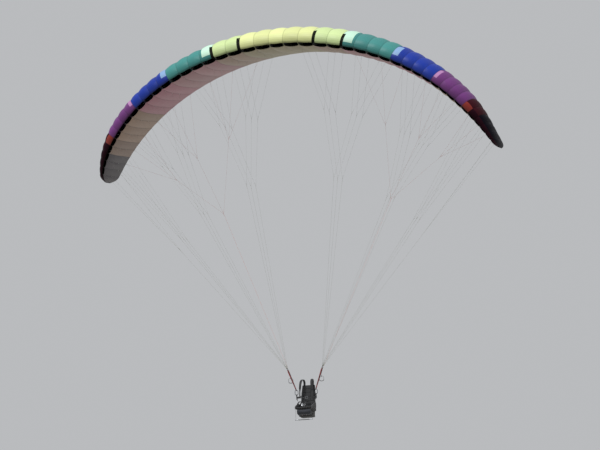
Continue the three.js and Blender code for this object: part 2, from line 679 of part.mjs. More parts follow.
// Foot bar on two cords that hang straight down from the front corners of the seat
function speedBar() {
  const { radius, cord, drop, inset, forward, down } = SPEED_BAR;
  const ring = (side) => seatPoint(side * (SHELL.halfWidth - inset), forward, down);
  const below = (p) => p.clone().add(point(0, 0, -drop));
  const end = (side) => below(ring(side)).add(point(side * inset, 0, 0));
  const pieces = [rod(end(-1), end(1), radius, 10)];
  for (const side of [-1, 1]) {
    const top = ring(side);
    pieces.push(rod(below(top), top, cord, 6));
    pieces.push(new THREE.SphereGeometry(SPEED_BAR.knot, 6, 4).translate(top.x, top.y, top.z));
  }
  return toGeometry(join(pieces));
}

// Finishes
const finish = (color, roughness = 0.7, metalness = 0) => new THREE.MeshStandardMaterial({
  color, roughness, metalness,
});
const LINE_FINISH = finish(0x8d8f8a, 0.8);
const BRAKE_LINE_FINISH = finish(0xc9573c, 0.8);
const WEB_FINISH = finish(0x202226, 0.85);
const HARNESS_FINISH = finish(0x1a1b20, 0.8);
const STEEL = finish(0xb9bcbf, 0.3, 1);
const ALLOY = finish(0x8f9499, 0.35, 1);

const paraglider = new THREE.Group();
function add(name, geometry, material) {
  const mesh = new THREE.Mesh(geometry, material);
  mesh.name = name;
  paraglider.add(mesh);
}

const SIDES = [['left', 1], ['right', -1]];
const tabsBySide = {};
for (const [word, side] of SIDES) {
  const tabs = [];
  for (const row of Object.keys(ROWS)) {
    const lines = rowLines(side, row);
    add(`${row}_lines_${word}`, lines.geometry, LINE_FINISH);
    tabs.push(...lines.tabs);
    add(`maillon_${row}_${word}`, maillon(side, row), STEEL);
  }
  const stabilo = stabiloLines(side);
  const brakes = brakeLines(side);
  add(`stabilo_line_${word}`, stabilo.geometry, LINE_FINISH);
  add(`brake_lines_${word}`, brakes.geometry, BRAKE_LINE_FINISH);
  tabsBySide[word] = [...tabs, ...stabilo.tabs, ...brakes.tabs];
  add(`risers_${word}`, riserSet(side), WEB_FINISH);
  add(`brake_pulley_${word}`, pulley(side), ALLOY);
  add(`brake_handle_${word}`, brakeHandle(side), WEB_FINISH);
  add(`carabiner_${word}`, carabiner(side), ALLOY);
  add(`shoulder_strap_${word}`, shoulderStrap(side), HARNESS_FINISH);
  add(`leg_strap_${word}`, legStrap(side), WEB_FINISH);
}

const tabsWithin = (word, from, to) => tabsBySide[word]
  .filter(({ rib }) => rib > from && rib < to).map(({ tab }) => tab);

add('canopy_yellow_centre', canopySection(ribIndex(-1, CENTRE_RIBS), ribIndex(1, CENTRE_RIBS),
  SIDES.flatMap(([word]) => tabsWithin(word, -1, CENTRE_RIBS))), finish(0xe8f07a, 0.55));
for (const [word, side] of SIDES) {
  for (const { name, from, to, colour } of BANDS) {
    const ends = [ribIndex(side, from), ribIndex(side, to)];
    add(`canopy_${name}_${word}`, canopySection(Math.min(...ends), Math.max(...ends),
      tabsWithin(word, from, to)), finish(colour, 0.55));
  }
}

add('seat_board', seatBoard(), finish(0xb48a5a, 0.6));
add('seat_shell', seatShell(), HARNESS_FINISH);
add('back_panel', backPanel(), HARNESS_FINISH);
add('back_protector', backProtector(), HARNESS_FINISH);
add('reserve_container', reserveContainer(), HARNESS_FINISH);
add('reserve_handle', reserveHandle(), finish(0xb01c1c, 0.7));
add('hang_webbing', hangWebbing(), WEB_FINISH);
add('chest_strap', chestStrap(), WEB_FINISH);
add('speed_bar', speedBar(), ALLOY);

export default paraglider;
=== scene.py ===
# %% [markdown]
# # Dressing a paraglider
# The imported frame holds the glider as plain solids: a canopy in thirteen sections, lines, risers,
# brakes and a harness. Each step below takes one of them, says what it is on the real glider, and
# gives it the shape and finish that the eye expects. Everything is in metres, with the nose
# towards -Y and the glider's left side towards +X.

# %% Load the frame
import json
import math

import bmesh
import bpy
import numpy as np
from mathutils import Matrix, Vector

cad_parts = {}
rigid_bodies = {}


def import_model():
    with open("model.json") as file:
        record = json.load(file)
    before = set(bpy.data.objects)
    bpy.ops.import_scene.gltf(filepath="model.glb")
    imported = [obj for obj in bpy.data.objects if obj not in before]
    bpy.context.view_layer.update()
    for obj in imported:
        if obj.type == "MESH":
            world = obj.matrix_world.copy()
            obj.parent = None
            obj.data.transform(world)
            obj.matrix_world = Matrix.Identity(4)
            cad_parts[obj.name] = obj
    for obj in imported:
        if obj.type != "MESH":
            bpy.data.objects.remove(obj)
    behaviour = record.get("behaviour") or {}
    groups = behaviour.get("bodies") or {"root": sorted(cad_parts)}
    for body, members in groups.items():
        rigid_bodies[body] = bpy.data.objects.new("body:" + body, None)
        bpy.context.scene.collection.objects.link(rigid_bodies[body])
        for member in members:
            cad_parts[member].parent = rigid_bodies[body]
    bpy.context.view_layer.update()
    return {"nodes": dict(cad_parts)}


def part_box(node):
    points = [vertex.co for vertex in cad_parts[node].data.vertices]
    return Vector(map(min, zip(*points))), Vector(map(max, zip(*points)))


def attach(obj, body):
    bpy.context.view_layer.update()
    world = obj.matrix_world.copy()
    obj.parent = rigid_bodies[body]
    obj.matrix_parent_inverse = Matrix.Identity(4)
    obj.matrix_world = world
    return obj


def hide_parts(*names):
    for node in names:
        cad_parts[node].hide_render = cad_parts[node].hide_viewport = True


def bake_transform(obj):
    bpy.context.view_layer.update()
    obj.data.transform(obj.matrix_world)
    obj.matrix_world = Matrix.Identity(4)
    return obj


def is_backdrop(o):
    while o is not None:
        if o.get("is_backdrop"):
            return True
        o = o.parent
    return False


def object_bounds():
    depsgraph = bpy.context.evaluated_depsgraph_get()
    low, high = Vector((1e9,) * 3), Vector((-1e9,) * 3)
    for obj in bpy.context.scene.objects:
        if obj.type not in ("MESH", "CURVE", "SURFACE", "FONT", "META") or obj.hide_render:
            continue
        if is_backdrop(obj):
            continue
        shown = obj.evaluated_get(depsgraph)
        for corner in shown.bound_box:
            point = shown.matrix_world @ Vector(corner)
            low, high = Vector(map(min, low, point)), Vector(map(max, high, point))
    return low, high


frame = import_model()

# %% [markdown]
# ## Camera, floor and light
# The photograph looks up at the glider by six degrees, from its front and a little to its left,
# with the glider banked by three. A long lens 80 m away keeps that flat perspective and fills
# the frame, and puts the eye just over the floor. The camera could be aimed with a constraint, but
# a matrix made from the viewing angles says the same in fewer steps and leaves nothing live.

# %% Camera
VIEW_AZIMUTH, VIEW_ELEVATION, VIEW_ROLL = (math.radians(a) for a in (14.5, -5.6, -3.4))
VIEW_DISTANCE = 80
AIM = Vector((0.02, 0.3, -4.02))
PIXELS_PER_METRE = 45
FRAME_WIDTH, SENSOR = 600, 36

back = Vector((
    math.sin(VIEW_AZIMUTH) * math.cos(VIEW_ELEVATION),
    -math.cos(VIEW_AZIMUTH) * math.cos(VIEW_ELEVATION),
    math.sin(VIEW_ELEVATION),
))
camera = bpy.data.objects.new("camera", bpy.data.cameras.new("camera"))
bpy.context.scene.collection.objects.link(camera)
bpy.context.scene.camera = camera
camera.data.sensor_width = SENSOR
camera.data.lens = PIXELS_PER_METRE * VIEW_DISTANCE / FRAME_WIDTH * SENSOR
camera.data.clip_end = 2000
turned = (-back).to_track_quat("-Z", "Y").to_matrix() @ Matrix.Rotation(VIEW_ROLL, 3, "Z")
camera.matrix_world = Matrix.Translation(AIM + back * VIEW_DISTANCE) @ turned.to_4x4()
print("camera at", [round(v, 2) for v in camera.matrix_world.translation])

# %% [markdown]
# A colour picked on a screen is an sRGB value, but a shader wants linear light. One function does
# that for every colour below. Another adds a node with its settings and inputs and gives the
# output that is used, so that each material reads as a short list of what it is made of.

# %% Helpers for materials
def linear(code):
    parts = [int(code[k:k + 2], 16) / 255 for k in (1, 3, 5)]
    return [*(p / 12.92 if p <= 0.04045 else ((p + 0.055) / 1.055) ** 2.4 for p in parts), 1]


def plug(tree, node, inputs):
    """Fills a node's inputs, each with a value, a hex colour or the output of another node."""
    for socket, given in inputs.items():
        if isinstance(given, bpy.types.NodeSocket):
            tree.links.new(given, node.inputs[socket])
        else:
            node.inputs[socket].default_value = linear(given) if isinstance(given, str) else given


def add_node(tree, kind, inputs=None, out=0, **settings):
    """Adds a node of any kind and gives the output that is used."""
    made = tree.nodes.new("ShaderNode" + kind)
    for name, value in settings.items():
        setattr(made, name, value)
    plug(tree, made, inputs or {})
    return made.outputs[out]


def new_material(name, **values):
    material = bpy.data.materials.new(name)
    material.use_nodes = True
    tree = material.node_tree
    shader = tree.nodes["Principled BSDF"]
    plug(tree, shader, {socket.replace("_", " "): value for socket, value in values.items()})
    return material, tree, shader

# %% Floor
FLOOR_LEVEL, FLOOR_HALF, BLOTCHES_PER_METRE = -12.0, 700, 0.05


def added(operator, **settings):
    """Runs an operator that adds an object, with nothing else selected."""
    bpy.ops.object.select_all(action="DESELECT")
    operator(**settings)
    return bpy.context.object


floor = added(bpy.ops.mesh.primitive_plane_add, size=2 * FLOOR_HALF, location=(0, 0, FLOOR_LEVEL))
floor.name = "floor"
plaster, tree, shader = new_material("painted_floor", Roughness=0.9)
place = add_node(tree, "TexCoord", out="Object")
blotches = add_node(tree, "TexNoise", {"Scale": BLOTCHES_PER_METRE, "Detail": 3, "Vector": place}, "Fac")
tint = add_node(tree, "Mix", {"A": "#b6b4af", "B": "#bcbab5", "Factor": blotches},
                "Result", data_type="RGBA")
plug(tree, shader, {"Base Color": tint})
floor.data.materials.append(plaster)
floor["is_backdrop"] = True

# %% Light
SUN_STRENGTH, SUN_WIDTH = 3.3, math.radians(18)
SUN_FROM = Vector((-0.1, -0.55, 1.0))
SKY_STRENGTH = 0.6

sun = bpy.data.objects.new("sun", bpy.data.lights.new("sun", "SUN"))
bpy.context.scene.collection.objects.link(sun)
sun.data.energy, sun.data.angle = SUN_STRENGTH, SUN_WIDTH
sun.rotation_euler = SUN_FROM.to_track_quat("Z", "Y").to_euler()

studio = bpy.data.worlds.new("studio")
bpy.context.scene.world = studio
studio.use_nodes = True
plug(studio.node_tree, studio.node_tree.nodes["Background"], {"Color": "#e9ebee", "Strength": SKY_STRENGTH})
bpy.context.scene.view_settings.view_transform = "Standard"
print("sun from", [round(v, 2) for v in SUN_FROM.normalized()])

# %% [markdown]
# ## The wing's formula
# A ram-air wing is cut from flat panels, but it is drawn as a formula: an arch across the span, a
# chord that shortens towards the tips, and one rib outline that is scaled to each chord. The same
# few sizes drew the solids, so the cloth below lands on them. Here they take whole arrays, because
# tens of thousands of cloth points are placed at once.

# %% Sizes of the wing
HALF_SPAN, ARCH_DROP, ARCH_ANGLE = 4.55, 2.66, math.radians(72.5)
ROOT_CHORD, TIP_CHORD, CHORD_POWER, CHORD_REACH = 2.75, 0.62, 2.4, 0.985
NOSE_AT, TIP_SWEEP, SWEEP_POWER = -0.3 * ROOT_CHORD, 0.7, 2.3
TIP_CURL, CURL_POWER = 0.45, 10
NOSE_DOWN = math.tan(math.radians(2))
CELLS_PER_SIDE, CENTRE_CELL_HALF, CELL_TAPER = 22, 0.0265, 0.286
THINS_FROM, THINNING = 0.72, 0.6
ROUND_FROM, ROUND_SHARE, ROUND_BACK = 0.9678, 0.84, 0.42


def rib_place(rib):
    share = rib / CELLS_PER_SIDE
    spread = (1 + CELL_TAPER) * share - CELL_TAPER * share * share
    return CENTRE_CELL_HALF + (1 - CENTRE_CELL_HALF) * spread


RIBS = [-rib_place(k) for k in range(CELLS_PER_SIDE, -1, -1)]
RIBS += [rib_place(k) for k in range(CELLS_PER_SIDE + 1)]


def rib_index(side, rib):
    return CELLS_PER_SIDE + 1 + rib if side > 0 else CELLS_PER_SIDE - rib


def full_chord(t):
    fall = (CHORD_REACH * np.abs(t)) ** CHORD_POWER
    return TIP_CHORD + (ROOT_CHORD - TIP_CHORD) * np.sqrt(1 - fall)


def rounding(t):
    """The last cell's plan is rounded off like the end of an ellipse: 1 inside, less at the tip."""
    return np.sqrt(1 - ROUND_SHARE * (np.maximum(0, np.abs(t) - ROUND_FROM) / (1 - ROUND_FROM)) ** 2)


def chord_at(t):
    return full_chord(t) * rounding(t)


def thickness_at(t):
    return 1 - THINNING * (np.maximum(0, np.abs(t) - THINS_FROM) / (1 - THINS_FROM)) ** 2

# %% Points of the wing
def wing(t, share, lift):
    """Points at t across the span, at a share of the chord, and at lift metres above the chord."""
    turn = t * ARCH_ANGLE
    sweep = TIP_SWEEP * np.abs(t) ** SWEEP_POWER + TIP_CURL * np.abs(t) ** CURL_POWER
    y = NOSE_AT + sweep + share * chord_at(t) + ROUND_BACK * (full_chord(t) - chord_at(t))
    x = HALF_SPAN * np.sin(turn) / math.sin(ARCH_ANGLE)
    z = -ARCH_DROP * (1 - np.cos(turn)) / (1 - math.cos(ARCH_ANGLE))
    along = HALF_SPAN * np.cos(turn) / math.sin(ARCH_ANGLE)
    down = ARCH_DROP * np.sin(turn) / (1 - math.cos(ARCH_ANGLE))
    length = np.hypot(along, down)
    points = (x + lift * down / length, y, z + lift * along / length + NOSE_DOWN * y)
    return np.stack(np.broadcast_arrays(*points), -1)


def outline(angle):
    """The rib outline, from the tail (0) over the top to the nose (pi) and back underneath (2 pi)."""
    share = (1 + np.cos(angle)) / 2
    bow = np.sqrt(share) * (1 - share)
    top = bow * (0.3647 - 0.1881 * share - 0.0262 * share ** 2)
    bottom = bow * (-0.1662 + 0.1235 * share - 0.0402 * share ** 2)
    return share, np.where(angle <= math.pi, top, bottom)


print("span", round(float(wing(1.0, 0, 0)[0] - wing(-1.0, 0, 0)[0]), 2), "chord", chord_at(0.0))

# %% [markdown]
# ## Canopy cloth
# The canopy is ripstop nylon: a light plain weave with a thicker thread every few millimetres,
# calendered and coated, so it has a soft shine and a papery crispness. Each cell is one panel
# between two ribs, and air pressure blows it out into a shallow tube. The dents at the ribs, the
# puckers of the seams and the fine crumples from packing are what make it read as cloth.
#
# The pattern follows the cloth, so the material reads the piece's own UV map, which is in metres:
# u runs across the span and v round the rib. A second attribute holds each point's distance from
# its nearest rib seam.

# %% Ripstop nylon
# The Wave texture repeats every WAVE_PERIOD at scale 1
WAVE_PERIOD = 2 * math.pi / 20
RIPSTOP_SPACING, THREAD_SHARPNESS = 0.012, 9.0
PUCKER_SPACING, PUCKER_REACH, CRUMPLE_SIZE = 0.065, 0.05, 0.16
SEAM_HALF, SEAM_TONE, DARKEST, BRIGHTEST = 0.009, 0.72, 0.3, 1.12
# Dark cloth keeps its depth at a glancing angle only with a lower IOR
CLOTH_IOR, DARK_IOR = 1.5, 1.15


def ripstop_nylon(name, code, ior=CLOTH_IOR):
    """Woven and coated nylon. The real grid is 5 mm; it is drawn at 12 mm so that it can show."""
    material, tree, shader = new_material(
        f"ripstop_nylon_{name}", Roughness=0.5, IOR=ior, Specular_IOR_Level=0.22)
    cloth = add_node(tree, "UVMap", uv_map="cloth")
    seam, tone = (add_node(tree, "Attribute", out="Fac", attribute_name=attribute)
                  for attribute in ("from_seam", "tone"))
    grid = {}
    for k, direction in enumerate("XY"):
        threads = add_node(tree, "TexWave", {"Scale": WAVE_PERIOD / RIPSTOP_SPACING, "Vector": cloth},
                           "Fac", bands_direction=direction)
        grid[k] = add_node(tree, "Math", {0: threads, 1: THREAD_SHARPNESS}, operation="POWER")
    squares = add_node(tree, "Math", grid, operation="MAXIMUM")
    near = add_node(tree, "MapRange", {"Value": seam, "From Max": PUCKER_REACH, "To Min": 1.0,
                                       "To Max": 0.0}, interpolation_type="SMOOTHSTEP")
    puckers = add_node(tree, "TexWave",
                       {"Scale": WAVE_PERIOD / PUCKER_SPACING, "Distortion": 7.0, "Detail": 2.0,
                        "Detail Scale": 0.6, "Vector": cloth}, "Fac", bands_direction="Y")
    puckered = add_node(tree, "Math", {0: puckers, 1: near}, operation="MULTIPLY")
    crumple = add_node(tree, "TexNoise", {"Scale": 1 / CRUMPLE_SIZE, "Detail": 5.0,
                                          "Distortion": 0.6, "Vector": cloth}, "Fac")
    # Darker along each seam: partly the stitching, partly painted shade in the dent at the seam.
    stitch_and_seam_shade = add_node(tree, "MapRange", {"Value": seam, "From Min": SEAM_HALF * 0.5,
                                           "From Max": SEAM_HALF * 1.5, "To Min": SEAM_TONE})
    # The tone attribute holds each panel's random dye and the painted shade of the lower nose.
    bright = add_node(tree, "MapRange", {"Value": tone, "To Min": DARKEST, "To Max": BRIGHTEST})
    level = add_node(tree, "Math", {0: stitch_and_seam_shade, 1: bright}, operation="MULTIPLY")
    colour = add_node(tree, "VectorMath", {0: linear(code)[:3], "Scale": level}, operation="SCALE")
    folds = add_node(tree, "Bump", {"Strength": 0.55, "Distance": 0.012, "Height": crumple})
    ridges = add_node(tree, "Bump", {"Strength": 0.35, "Distance": 0.005, "Height": puckered,
                                     "Normal": folds})
    weave = add_node(tree, "Bump", {"Strength": 0.25, "Distance": 0.0006, "Height": squares,
                                    "Normal": ridges})
    plug(tree, shader, {"Base Color": colour, "Normal": weave})
    return material

# %% Colours of the cloth
# Top and underside of each band, then the single colours with the word for each in its name
# The underside colours are the cloth's own, set darker as painted shade for the underside in shadow.
BAND_COLOURS = {
    "yellow": ("#d3d997", "#857d67"),
    "lime": ("#c4d799", "#887669"),
    "green": ("#3d827e", "#8d6c70"),
    "blue": ("#13308f", "#916670"),
    "purple": ("#673370", "#846f61"),
    "red": ("#38131b", "#79675d"),
    "black": ("#0d0a14", "#433f44"),
}
SINGLE_COLOURS = {
    "mint": ("mint_accent", "#bfe3cc"),
    "sky": ("pale_blue_accent", "#7f9fc6"),
    "pink": ("pink_accent", "#a878a6"),
    "flame": ("red_nose", "#7f2a22"),
    "maroon": ("maroon_nose", "#260c17"),
    "dark": ("dark_accent", "#191d15"),
    "rib": ("rib_white", "#c9cacb"),
}
DARK_CLOTHS = ("black", "red", "maroon", "dark")
CLOTH = {}
for band, (top, under) in BAND_COLOURS.items():
    CLOTH[band] = ripstop_nylon(band, top, DARK_IOR if band in DARK_CLOTHS else CLOTH_IOR)
    CLOTH[band + "_under"] = ripstop_nylon(band + "_underside", under)
for cloth, (name, code) in SINGLE_COLOURS.items():
    CLOTH[cloth] = ripstop_nylon(name, code, DARK_IOR if cloth in DARK_CLOTHS else CLOTH_IOR)
print(len(CLOTH), "cloths")

# %% [markdown]
# ## One canopy section
# The skin starts as a flat grid, laid out as the cloth is: columns across the cells, rows round the
# rib from the tail, over the top, round the nose and back underneath. Every vertex is then carried
# to its place on the wing and pushed out by the air, square to the rib outline. Drawing it as a
# subdivision cage would take fewer points, but the inlets have to be cut on exact rows behind the
# nose, and each cell has its own width.

# %% Rows and columns of the grid
COLUMNS = [0, 0.045, 0.18, 0.34, 0.5, 0.66, 0.82, 0.955, 1]
PER_CELL = len(COLUMNS) - 1
TOP_ROWS, FRONT_ROWS, INLET_ROWS, UNDER_ROWS = 38, 3, 4, 34
INLET_FROM, INLET_TO = (2 * math.asin(math.sqrt(share)) for share in (0.012, 0.055))
ANGLES = np.concatenate([
    np.linspace(0, math.pi, TOP_ROWS + 1),
    math.pi + np.linspace(0, INLET_FROM, FRONT_ROWS + 1)[1:],
    math.pi + np.linspace(INLET_FROM, INLET_TO, INLET_ROWS + 1)[1:],
    math.pi + np.linspace(INLET_TO, math.pi, UNDER_ROWS + 1)[1:],
])
INLET_START = TOP_ROWS + FRONT_ROWS
LAST_INLET_CELL = 20
CELL_BULGE, NOSE_BULGE, TAIL_DRAW = 0.1, 0.5, 0.006
SECTION_GAP = 0.00002
ANGLE_STEP, TAIL_DIRECTION = 1e-4, (-1.0, 0.1)
HEM_ROW = 3
CLOTH_THICK = 0.0015


def swell(share):
    """How far a cell blows out at each share of the chord, from 0 to 1."""
    body = np.sqrt(share) * (1 - share) / (math.sqrt(1 / 3) * 2 / 3)
    return np.maximum(body, 0) + NOSE_BULGE * np.maximum(0, 1 - share / 0.12) ** 2


print(len(ANGLES) - 1, "rows,", PER_CELL, "columns for each cell")

# %% Where the cloth goes
def skin_points(ribs):
    """Points, distance from the seam, and place across and round, as arrays of rows by columns."""
    t, x, width = [], [], []
    for left, right in zip(ribs[:-1], ribs[1:]):
        across = float(np.linalg.norm(wing(right, 0, 0) - wing(left, 0, 0)))
        for share in COLUMNS[:-1]:
            t.append(left + share * (right - left))
            x.append(share)
            width.append(across)
    t[0] += SECTION_GAP
    t = np.array([*t, ribs[-1] - SECTION_GAP])
    x, width = np.array([*x, 1.0]), np.array([*width, width[-1]])
    share, height = outline(ANGLES)
    ahead, behind = outline(ANGLES + ANGLE_STEP), outline(np.abs(ANGLES - ANGLE_STEP))
    run, rise = ahead[0] - behind[0], ahead[1] - behind[1]
    run[[0, -1]], rise[[0, -1]] = TAIL_DIRECTION
    slope = np.hypot(run, rise)
    out_share, out_height = rise / slope, -run / slope
    arc = 4 * x * (1 - x)
    puff = width * CELL_BULGE * thickness_at(t) * arc * swell(share)[:, None]
    chord = chord_at(t)
    drawn = TAIL_DRAW * arc * np.maximum(0, (share[:, None] - 0.8) / 0.2) ** 2
    place = wing(t, share[:, None] * (1 - drawn) + puff * out_share[:, None] / chord,
                 height[:, None] * chord * thickness_at(t) + puff * out_height[:, None])
    flat = np.concatenate([[0], np.cumsum(np.linalg.norm(np.diff(place[0], axis=0), axis=1))])
    round_rib = np.concatenate([
        np.zeros((1, len(t))),
        np.cumsum(np.linalg.norm(np.diff(place, axis=0), axis=2), axis=0)])
    hems = [np.abs(round_rib - round_rib[row]) for row in (HEM_ROW, -1 - HEM_ROW)]
    seam = np.minimum.reduce([np.broadcast_to(np.minimum(x, 1 - x) * width, hems[0].shape), *hems])
    return place, seam, np.broadcast_to(flat, place.shape[:2]), round_rib

# %% [markdown]
# Panels are cut from cloth of one colour, so a colour only changes at a seam. The top colour runs
# from the tail round the nose to the inlets, and the underside has its own. Short dark wedges mark
# both edges of the lime sections at the nose, and a pale panel starts each of the next bands. The
# nose of the first red cell is bright, and from there to the tip the nose is maroon.

# %% Which cloth each panel is cut from
DARK_RIBS = (2, 4)
# For a cell: the cloth, how many columns wide, and the rows from which and to which it goes
ACCENTS = {4: ("mint", 6, 26, 37), 8: ("sky", 4, 29, 36), 12: ("pink", 3, 29, 36)}
WEDGE_ROW, CHIN_ROW = 32, 34
CHIN = {16: "flame", **dict.fromkeys(range(17, 22), "maroon")}


def cloth_of(band, cell, place, row):
    """The cloth of one face. cell counts outwards from the centre cell, which is -1 there."""
    if row >= INLET_START + INLET_ROWS:
        return band + "_under"
    at_edge = (cell in DARK_RIBS and place < 2) or (cell + 1 in DARK_RIBS and place > 6)
    if at_edge and row >= WEDGE_ROW:
        return "dark"
    accent, wide, first, last = ACCENTS.get(cell, (None, 0, 0, 0))
    if place < wide and first <= row < last:
        return accent
    return CHIN.get(cell, band) if row >= CHIN_ROW else band

# %% Helpers for meshes
def pick(piece):
    bpy.ops.object.select_all(action="DESELECT")
    piece.select_set(True)
    bpy.context.view_layer.objects.active = piece


def edit_mode(piece, kind="FACE", action="DESELECT"):
    pick(piece)
    bpy.ops.object.mode_set(mode="EDIT")
    bpy.ops.mesh.select_mode(type=kind)
    bpy.ops.mesh.select_all(action=action)
    return bmesh.from_edit_mesh(piece.data)


def apply_modifier(piece, kind, **settings):
    bpy.context.view_layer.objects.active = piece
    modifier = piece.modifiers.new(kind.lower(), kind)
    for name, value in settings.items():
        setattr(modifier, name, value)
    bpy.ops.object.modifier_apply(modifier=modifier.name)


def bevel(piece, width, segments=2):
    apply_modifier(piece, "BEVEL", width=width, segments=segments)


def object_mode():
    bpy.ops.object.mode_set(mode="OBJECT")


def close_mesh():
    """Turns all faces outwards and leaves edit mode."""
    bpy.ops.mesh.select_all(action="SELECT")
    bpy.ops.mesh.normals_make_consistent(inside=False)
    object_mode()


def points_of(piece):
    flat = np.zeros(len(piece.data.vertices) * 3)
    piece.data.vertices.foreach_get("co", flat)
    return flat.reshape(-1, 3)


def move_points(piece, points):
    piece.data.vertices.foreach_set("co", np.asarray(points, float).ravel())
    piece.data.update()
    return piece


def set_material(piece, material):
    piece.data.materials.clear()
    piece.data.materials.append(material)
    return piece

# %% Make the skin of one section
def flat_grid(columns, rows):
    """A flat grid, and the column and the row of each of its points."""
    piece = added(bpy.ops.mesh.primitive_grid_add, x_subdivisions=columns, y_subdivisions=rows, size=2)
    share = (points_of(piece)[:, :2] + 1) / 2
    column, row = np.rint(share * (columns, rows)).astype(int).T
    return piece, column, row


def seam_distance(piece, metres):
    metres = np.broadcast_to(metres, len(piece.data.vertices)).astype(np.float32)
    piece.data.attributes.new("from_seam", "FLOAT", "POINT").data.foreach_set("value", metres)


def skin(name, band, side, first, last):
    """Cloth of the cells from rib index first to last, blown out and open at its inlets."""
    piece, column, row = flat_grid(PER_CELL * (last - first), len(ANGLES) - 1)
    piece.name = name
    place, seam, u, v = skin_points(RIBS[first:last + 1])
    move_points(piece, place[row, column])
    seam_distance(piece, seam[row, column])
    mesh = piece.data
    mesh.uv_layers[0].name = "cloth"
    corner = np.zeros(len(mesh.loops), int)
    mesh.loops.foreach_get("vertex_index", corner)
    mesh.uv_layers[0].uv.foreach_set(
        "vector", np.stack([u[row, column], v[row, column]], 1)[corner].ravel())
    cut_panels(piece, band, side, first, column, row)
    cut_inlets(piece, side, first, column, row)
    return piece


def outward_cell(side, index):
    """Cells counted outwards from a wing half's first rib; the centre cell is -1."""
    if index == CELLS_PER_SIDE:
        return -1
    return index - CELLS_PER_SIDE - 1 if index > CELLS_PER_SIDE else CELLS_PER_SIDE - 1 - index

# %% Cut the panels and the inlets
TONE_SEED = 7
# Painted shade: the colour of the nose darkens from row 33 down to the inlets.
NOSE_SHADE_FROM, NOSE_PAINTED_SHADE = 33, 0.75


def panel_dye_and_shade(row, under, chance):
    """Each panel is dyed a little apart. The nose is darkened down to the inlets as painted shade."""
    tone = 0.72 + 0.16 * chance[1 if under else 0]
    if not under:
        tone -= NOSE_PAINTED_SHADE * np.clip((row - NOSE_SHADE_FROM) / (INLET_START - NOSE_SHADE_FROM), 0, 1)
    return tone


def cut_panels(piece, band, side, first, column, row):
    names = [band, band + "_under", "mint", "sky", "pink", "dark", "flame", "maroon"]
    for name in names:
        piece.data.materials.append(CLOTH[name])
    chance = np.random.default_rng(TONE_SEED + first).random((64, 2))
    tone = piece.data.attributes.new("tone", "FLOAT", "FACE")
    for face in piece.data.polygons:
        corners = list(face.vertices)
        low = int(row[corners].min())
        index, place = divmod(int(column[corners].min()), PER_CELL)
        if first + index <= CELLS_PER_SIDE:
            place = PER_CELL - 1 - place
        name = cloth_of(band, outward_cell(side, first + index), place, low)
        face.material_index = names.index(name)
        tone.data[face.index].value = panel_dye_and_shade(low, name.endswith("_under"), chance[index])


def cut_openings(piece, column, row, chosen):
    """Takes the chosen faces out and rounds the corners. A mark on their points finds the rims,
    because deleting faces renumbers the points."""
    mesh = edit_mode(piece)
    marked = mesh.verts.layers.int.new("rim")
    for face in mesh.faces:
        corners = [v.index for v in face.verts]
        face.select = bool(chosen(int(column[corners].min()), int(row[corners].min())))
        for v in face.verts:
            v[marked] |= face.select
    bpy.ops.mesh.delete(type="FACE")
    mesh = bmesh.from_edit_mesh(piece.data)
    marked = mesh.verts.layers.int["rim"]
    bpy.ops.mesh.select_mode(type="VERT")
    for v in mesh.verts:
        v.select = bool(v[marked])
    bpy.ops.mesh.vertices_smooth(factor=0.5, repeat=2)
    bpy.ops.mesh.select_mode(type="EDGE")
    mesh = bmesh.from_edit_mesh(piece.data)
    marked = mesh.verts.layers.int["rim"]
    for edge in mesh.edges:
        edge.select = edge.is_boundary and all(v[marked] for v in edge.verts)


def cut_inlets(piece, side, first, column, row):
    """Opens the inlets, parts a copy of their rims for the hem and closes the tail."""
    def in_inlet(left, low):
        index, place = divmod(left, PER_CELL)
        cell = outward_cell(side, first + index)
        open_here = 0 < place < PER_CELL - 1 and cell <= LAST_INLET_CELL
        return open_here and INLET_START <= low < INLET_START + INLET_ROWS

    cut_openings(piece, column, row, in_inlet)
    bpy.ops.mesh.duplicate()
    bpy.ops.mesh.separate(type="SELECTED")
    bpy.ops.mesh.select_all(action="SELECT")
    bpy.ops.mesh.remove_doubles(threshold=1e-5)
    close_mesh()

# %% [markdown]
# ## Ribs inside
# Looking into an inlet, one sees the ribs: plain white cloth walls with round holes that let air
# pass from cell to cell. They only show for the first half metre, but a wall that stopped there
# would leave the skin hollow from other angles, so each rib is whole. A strip of grid is placed
# between the lower and the upper outline, some of its faces are deleted as holes, and their
# corners are smoothed round.

# %% Make a rib
RIB_COLUMNS, RIB_ROWS = 30, 6
RIB_START, RIB_ROUND = 0.12, math.pi - 0.2
RIB_INSET, TIP_PUFF, FAR_FROM_SEAMS = 0.003, 0.012, 0.1


def in_hole(left, low):
    return 1 < low < RIB_ROWS - 2 and left % 5 in (1, 2, 3) and 4 < left < 27


def rib_wall(t, holes=True):
    piece, column, row = flat_grid(RIB_COLUMNS, RIB_ROWS)
    along, upward = column / RIB_COLUMNS, row / RIB_ROWS
    angle = RIB_START + along * RIB_ROUND
    share, top = outline(angle)
    bottom = outline(2 * math.pi - angle)[1]
    scale = chord_at(t) * thickness_at(t)
    low, high = bottom * scale + RIB_INSET, top * scale - RIB_INSET
    places = wing(t, share, low + upward * (high - low))
    if not holes:
        puff = TIP_PUFF * np.sin(math.pi * upward) * np.sin(math.pi * along) ** 0.5
        places = places + puff[:, None] * (np.sign(t) * math.cos(ARCH_ANGLE), 0, -math.sin(ARCH_ANGLE))
    move_points(piece, places)
    piece.data.uv_layers[0].name = "cloth"
    seam_distance(piece, FAR_FROM_SEAMS)
    if holes:
        cut_openings(piece, column, row, in_hole)
        object_mode()
    return piece

# %% Join pieces and turn the inlets' rims into hems
HEM_RADIUS = 0.005


def join(pieces, name):
    pick(pieces[0])
    for piece in pieces:
        piece.select_set(True)
    if len(pieces) > 1:
        bpy.ops.object.join()
    pieces[0].name = pieces[0].data.name = name
    return pieces[0]


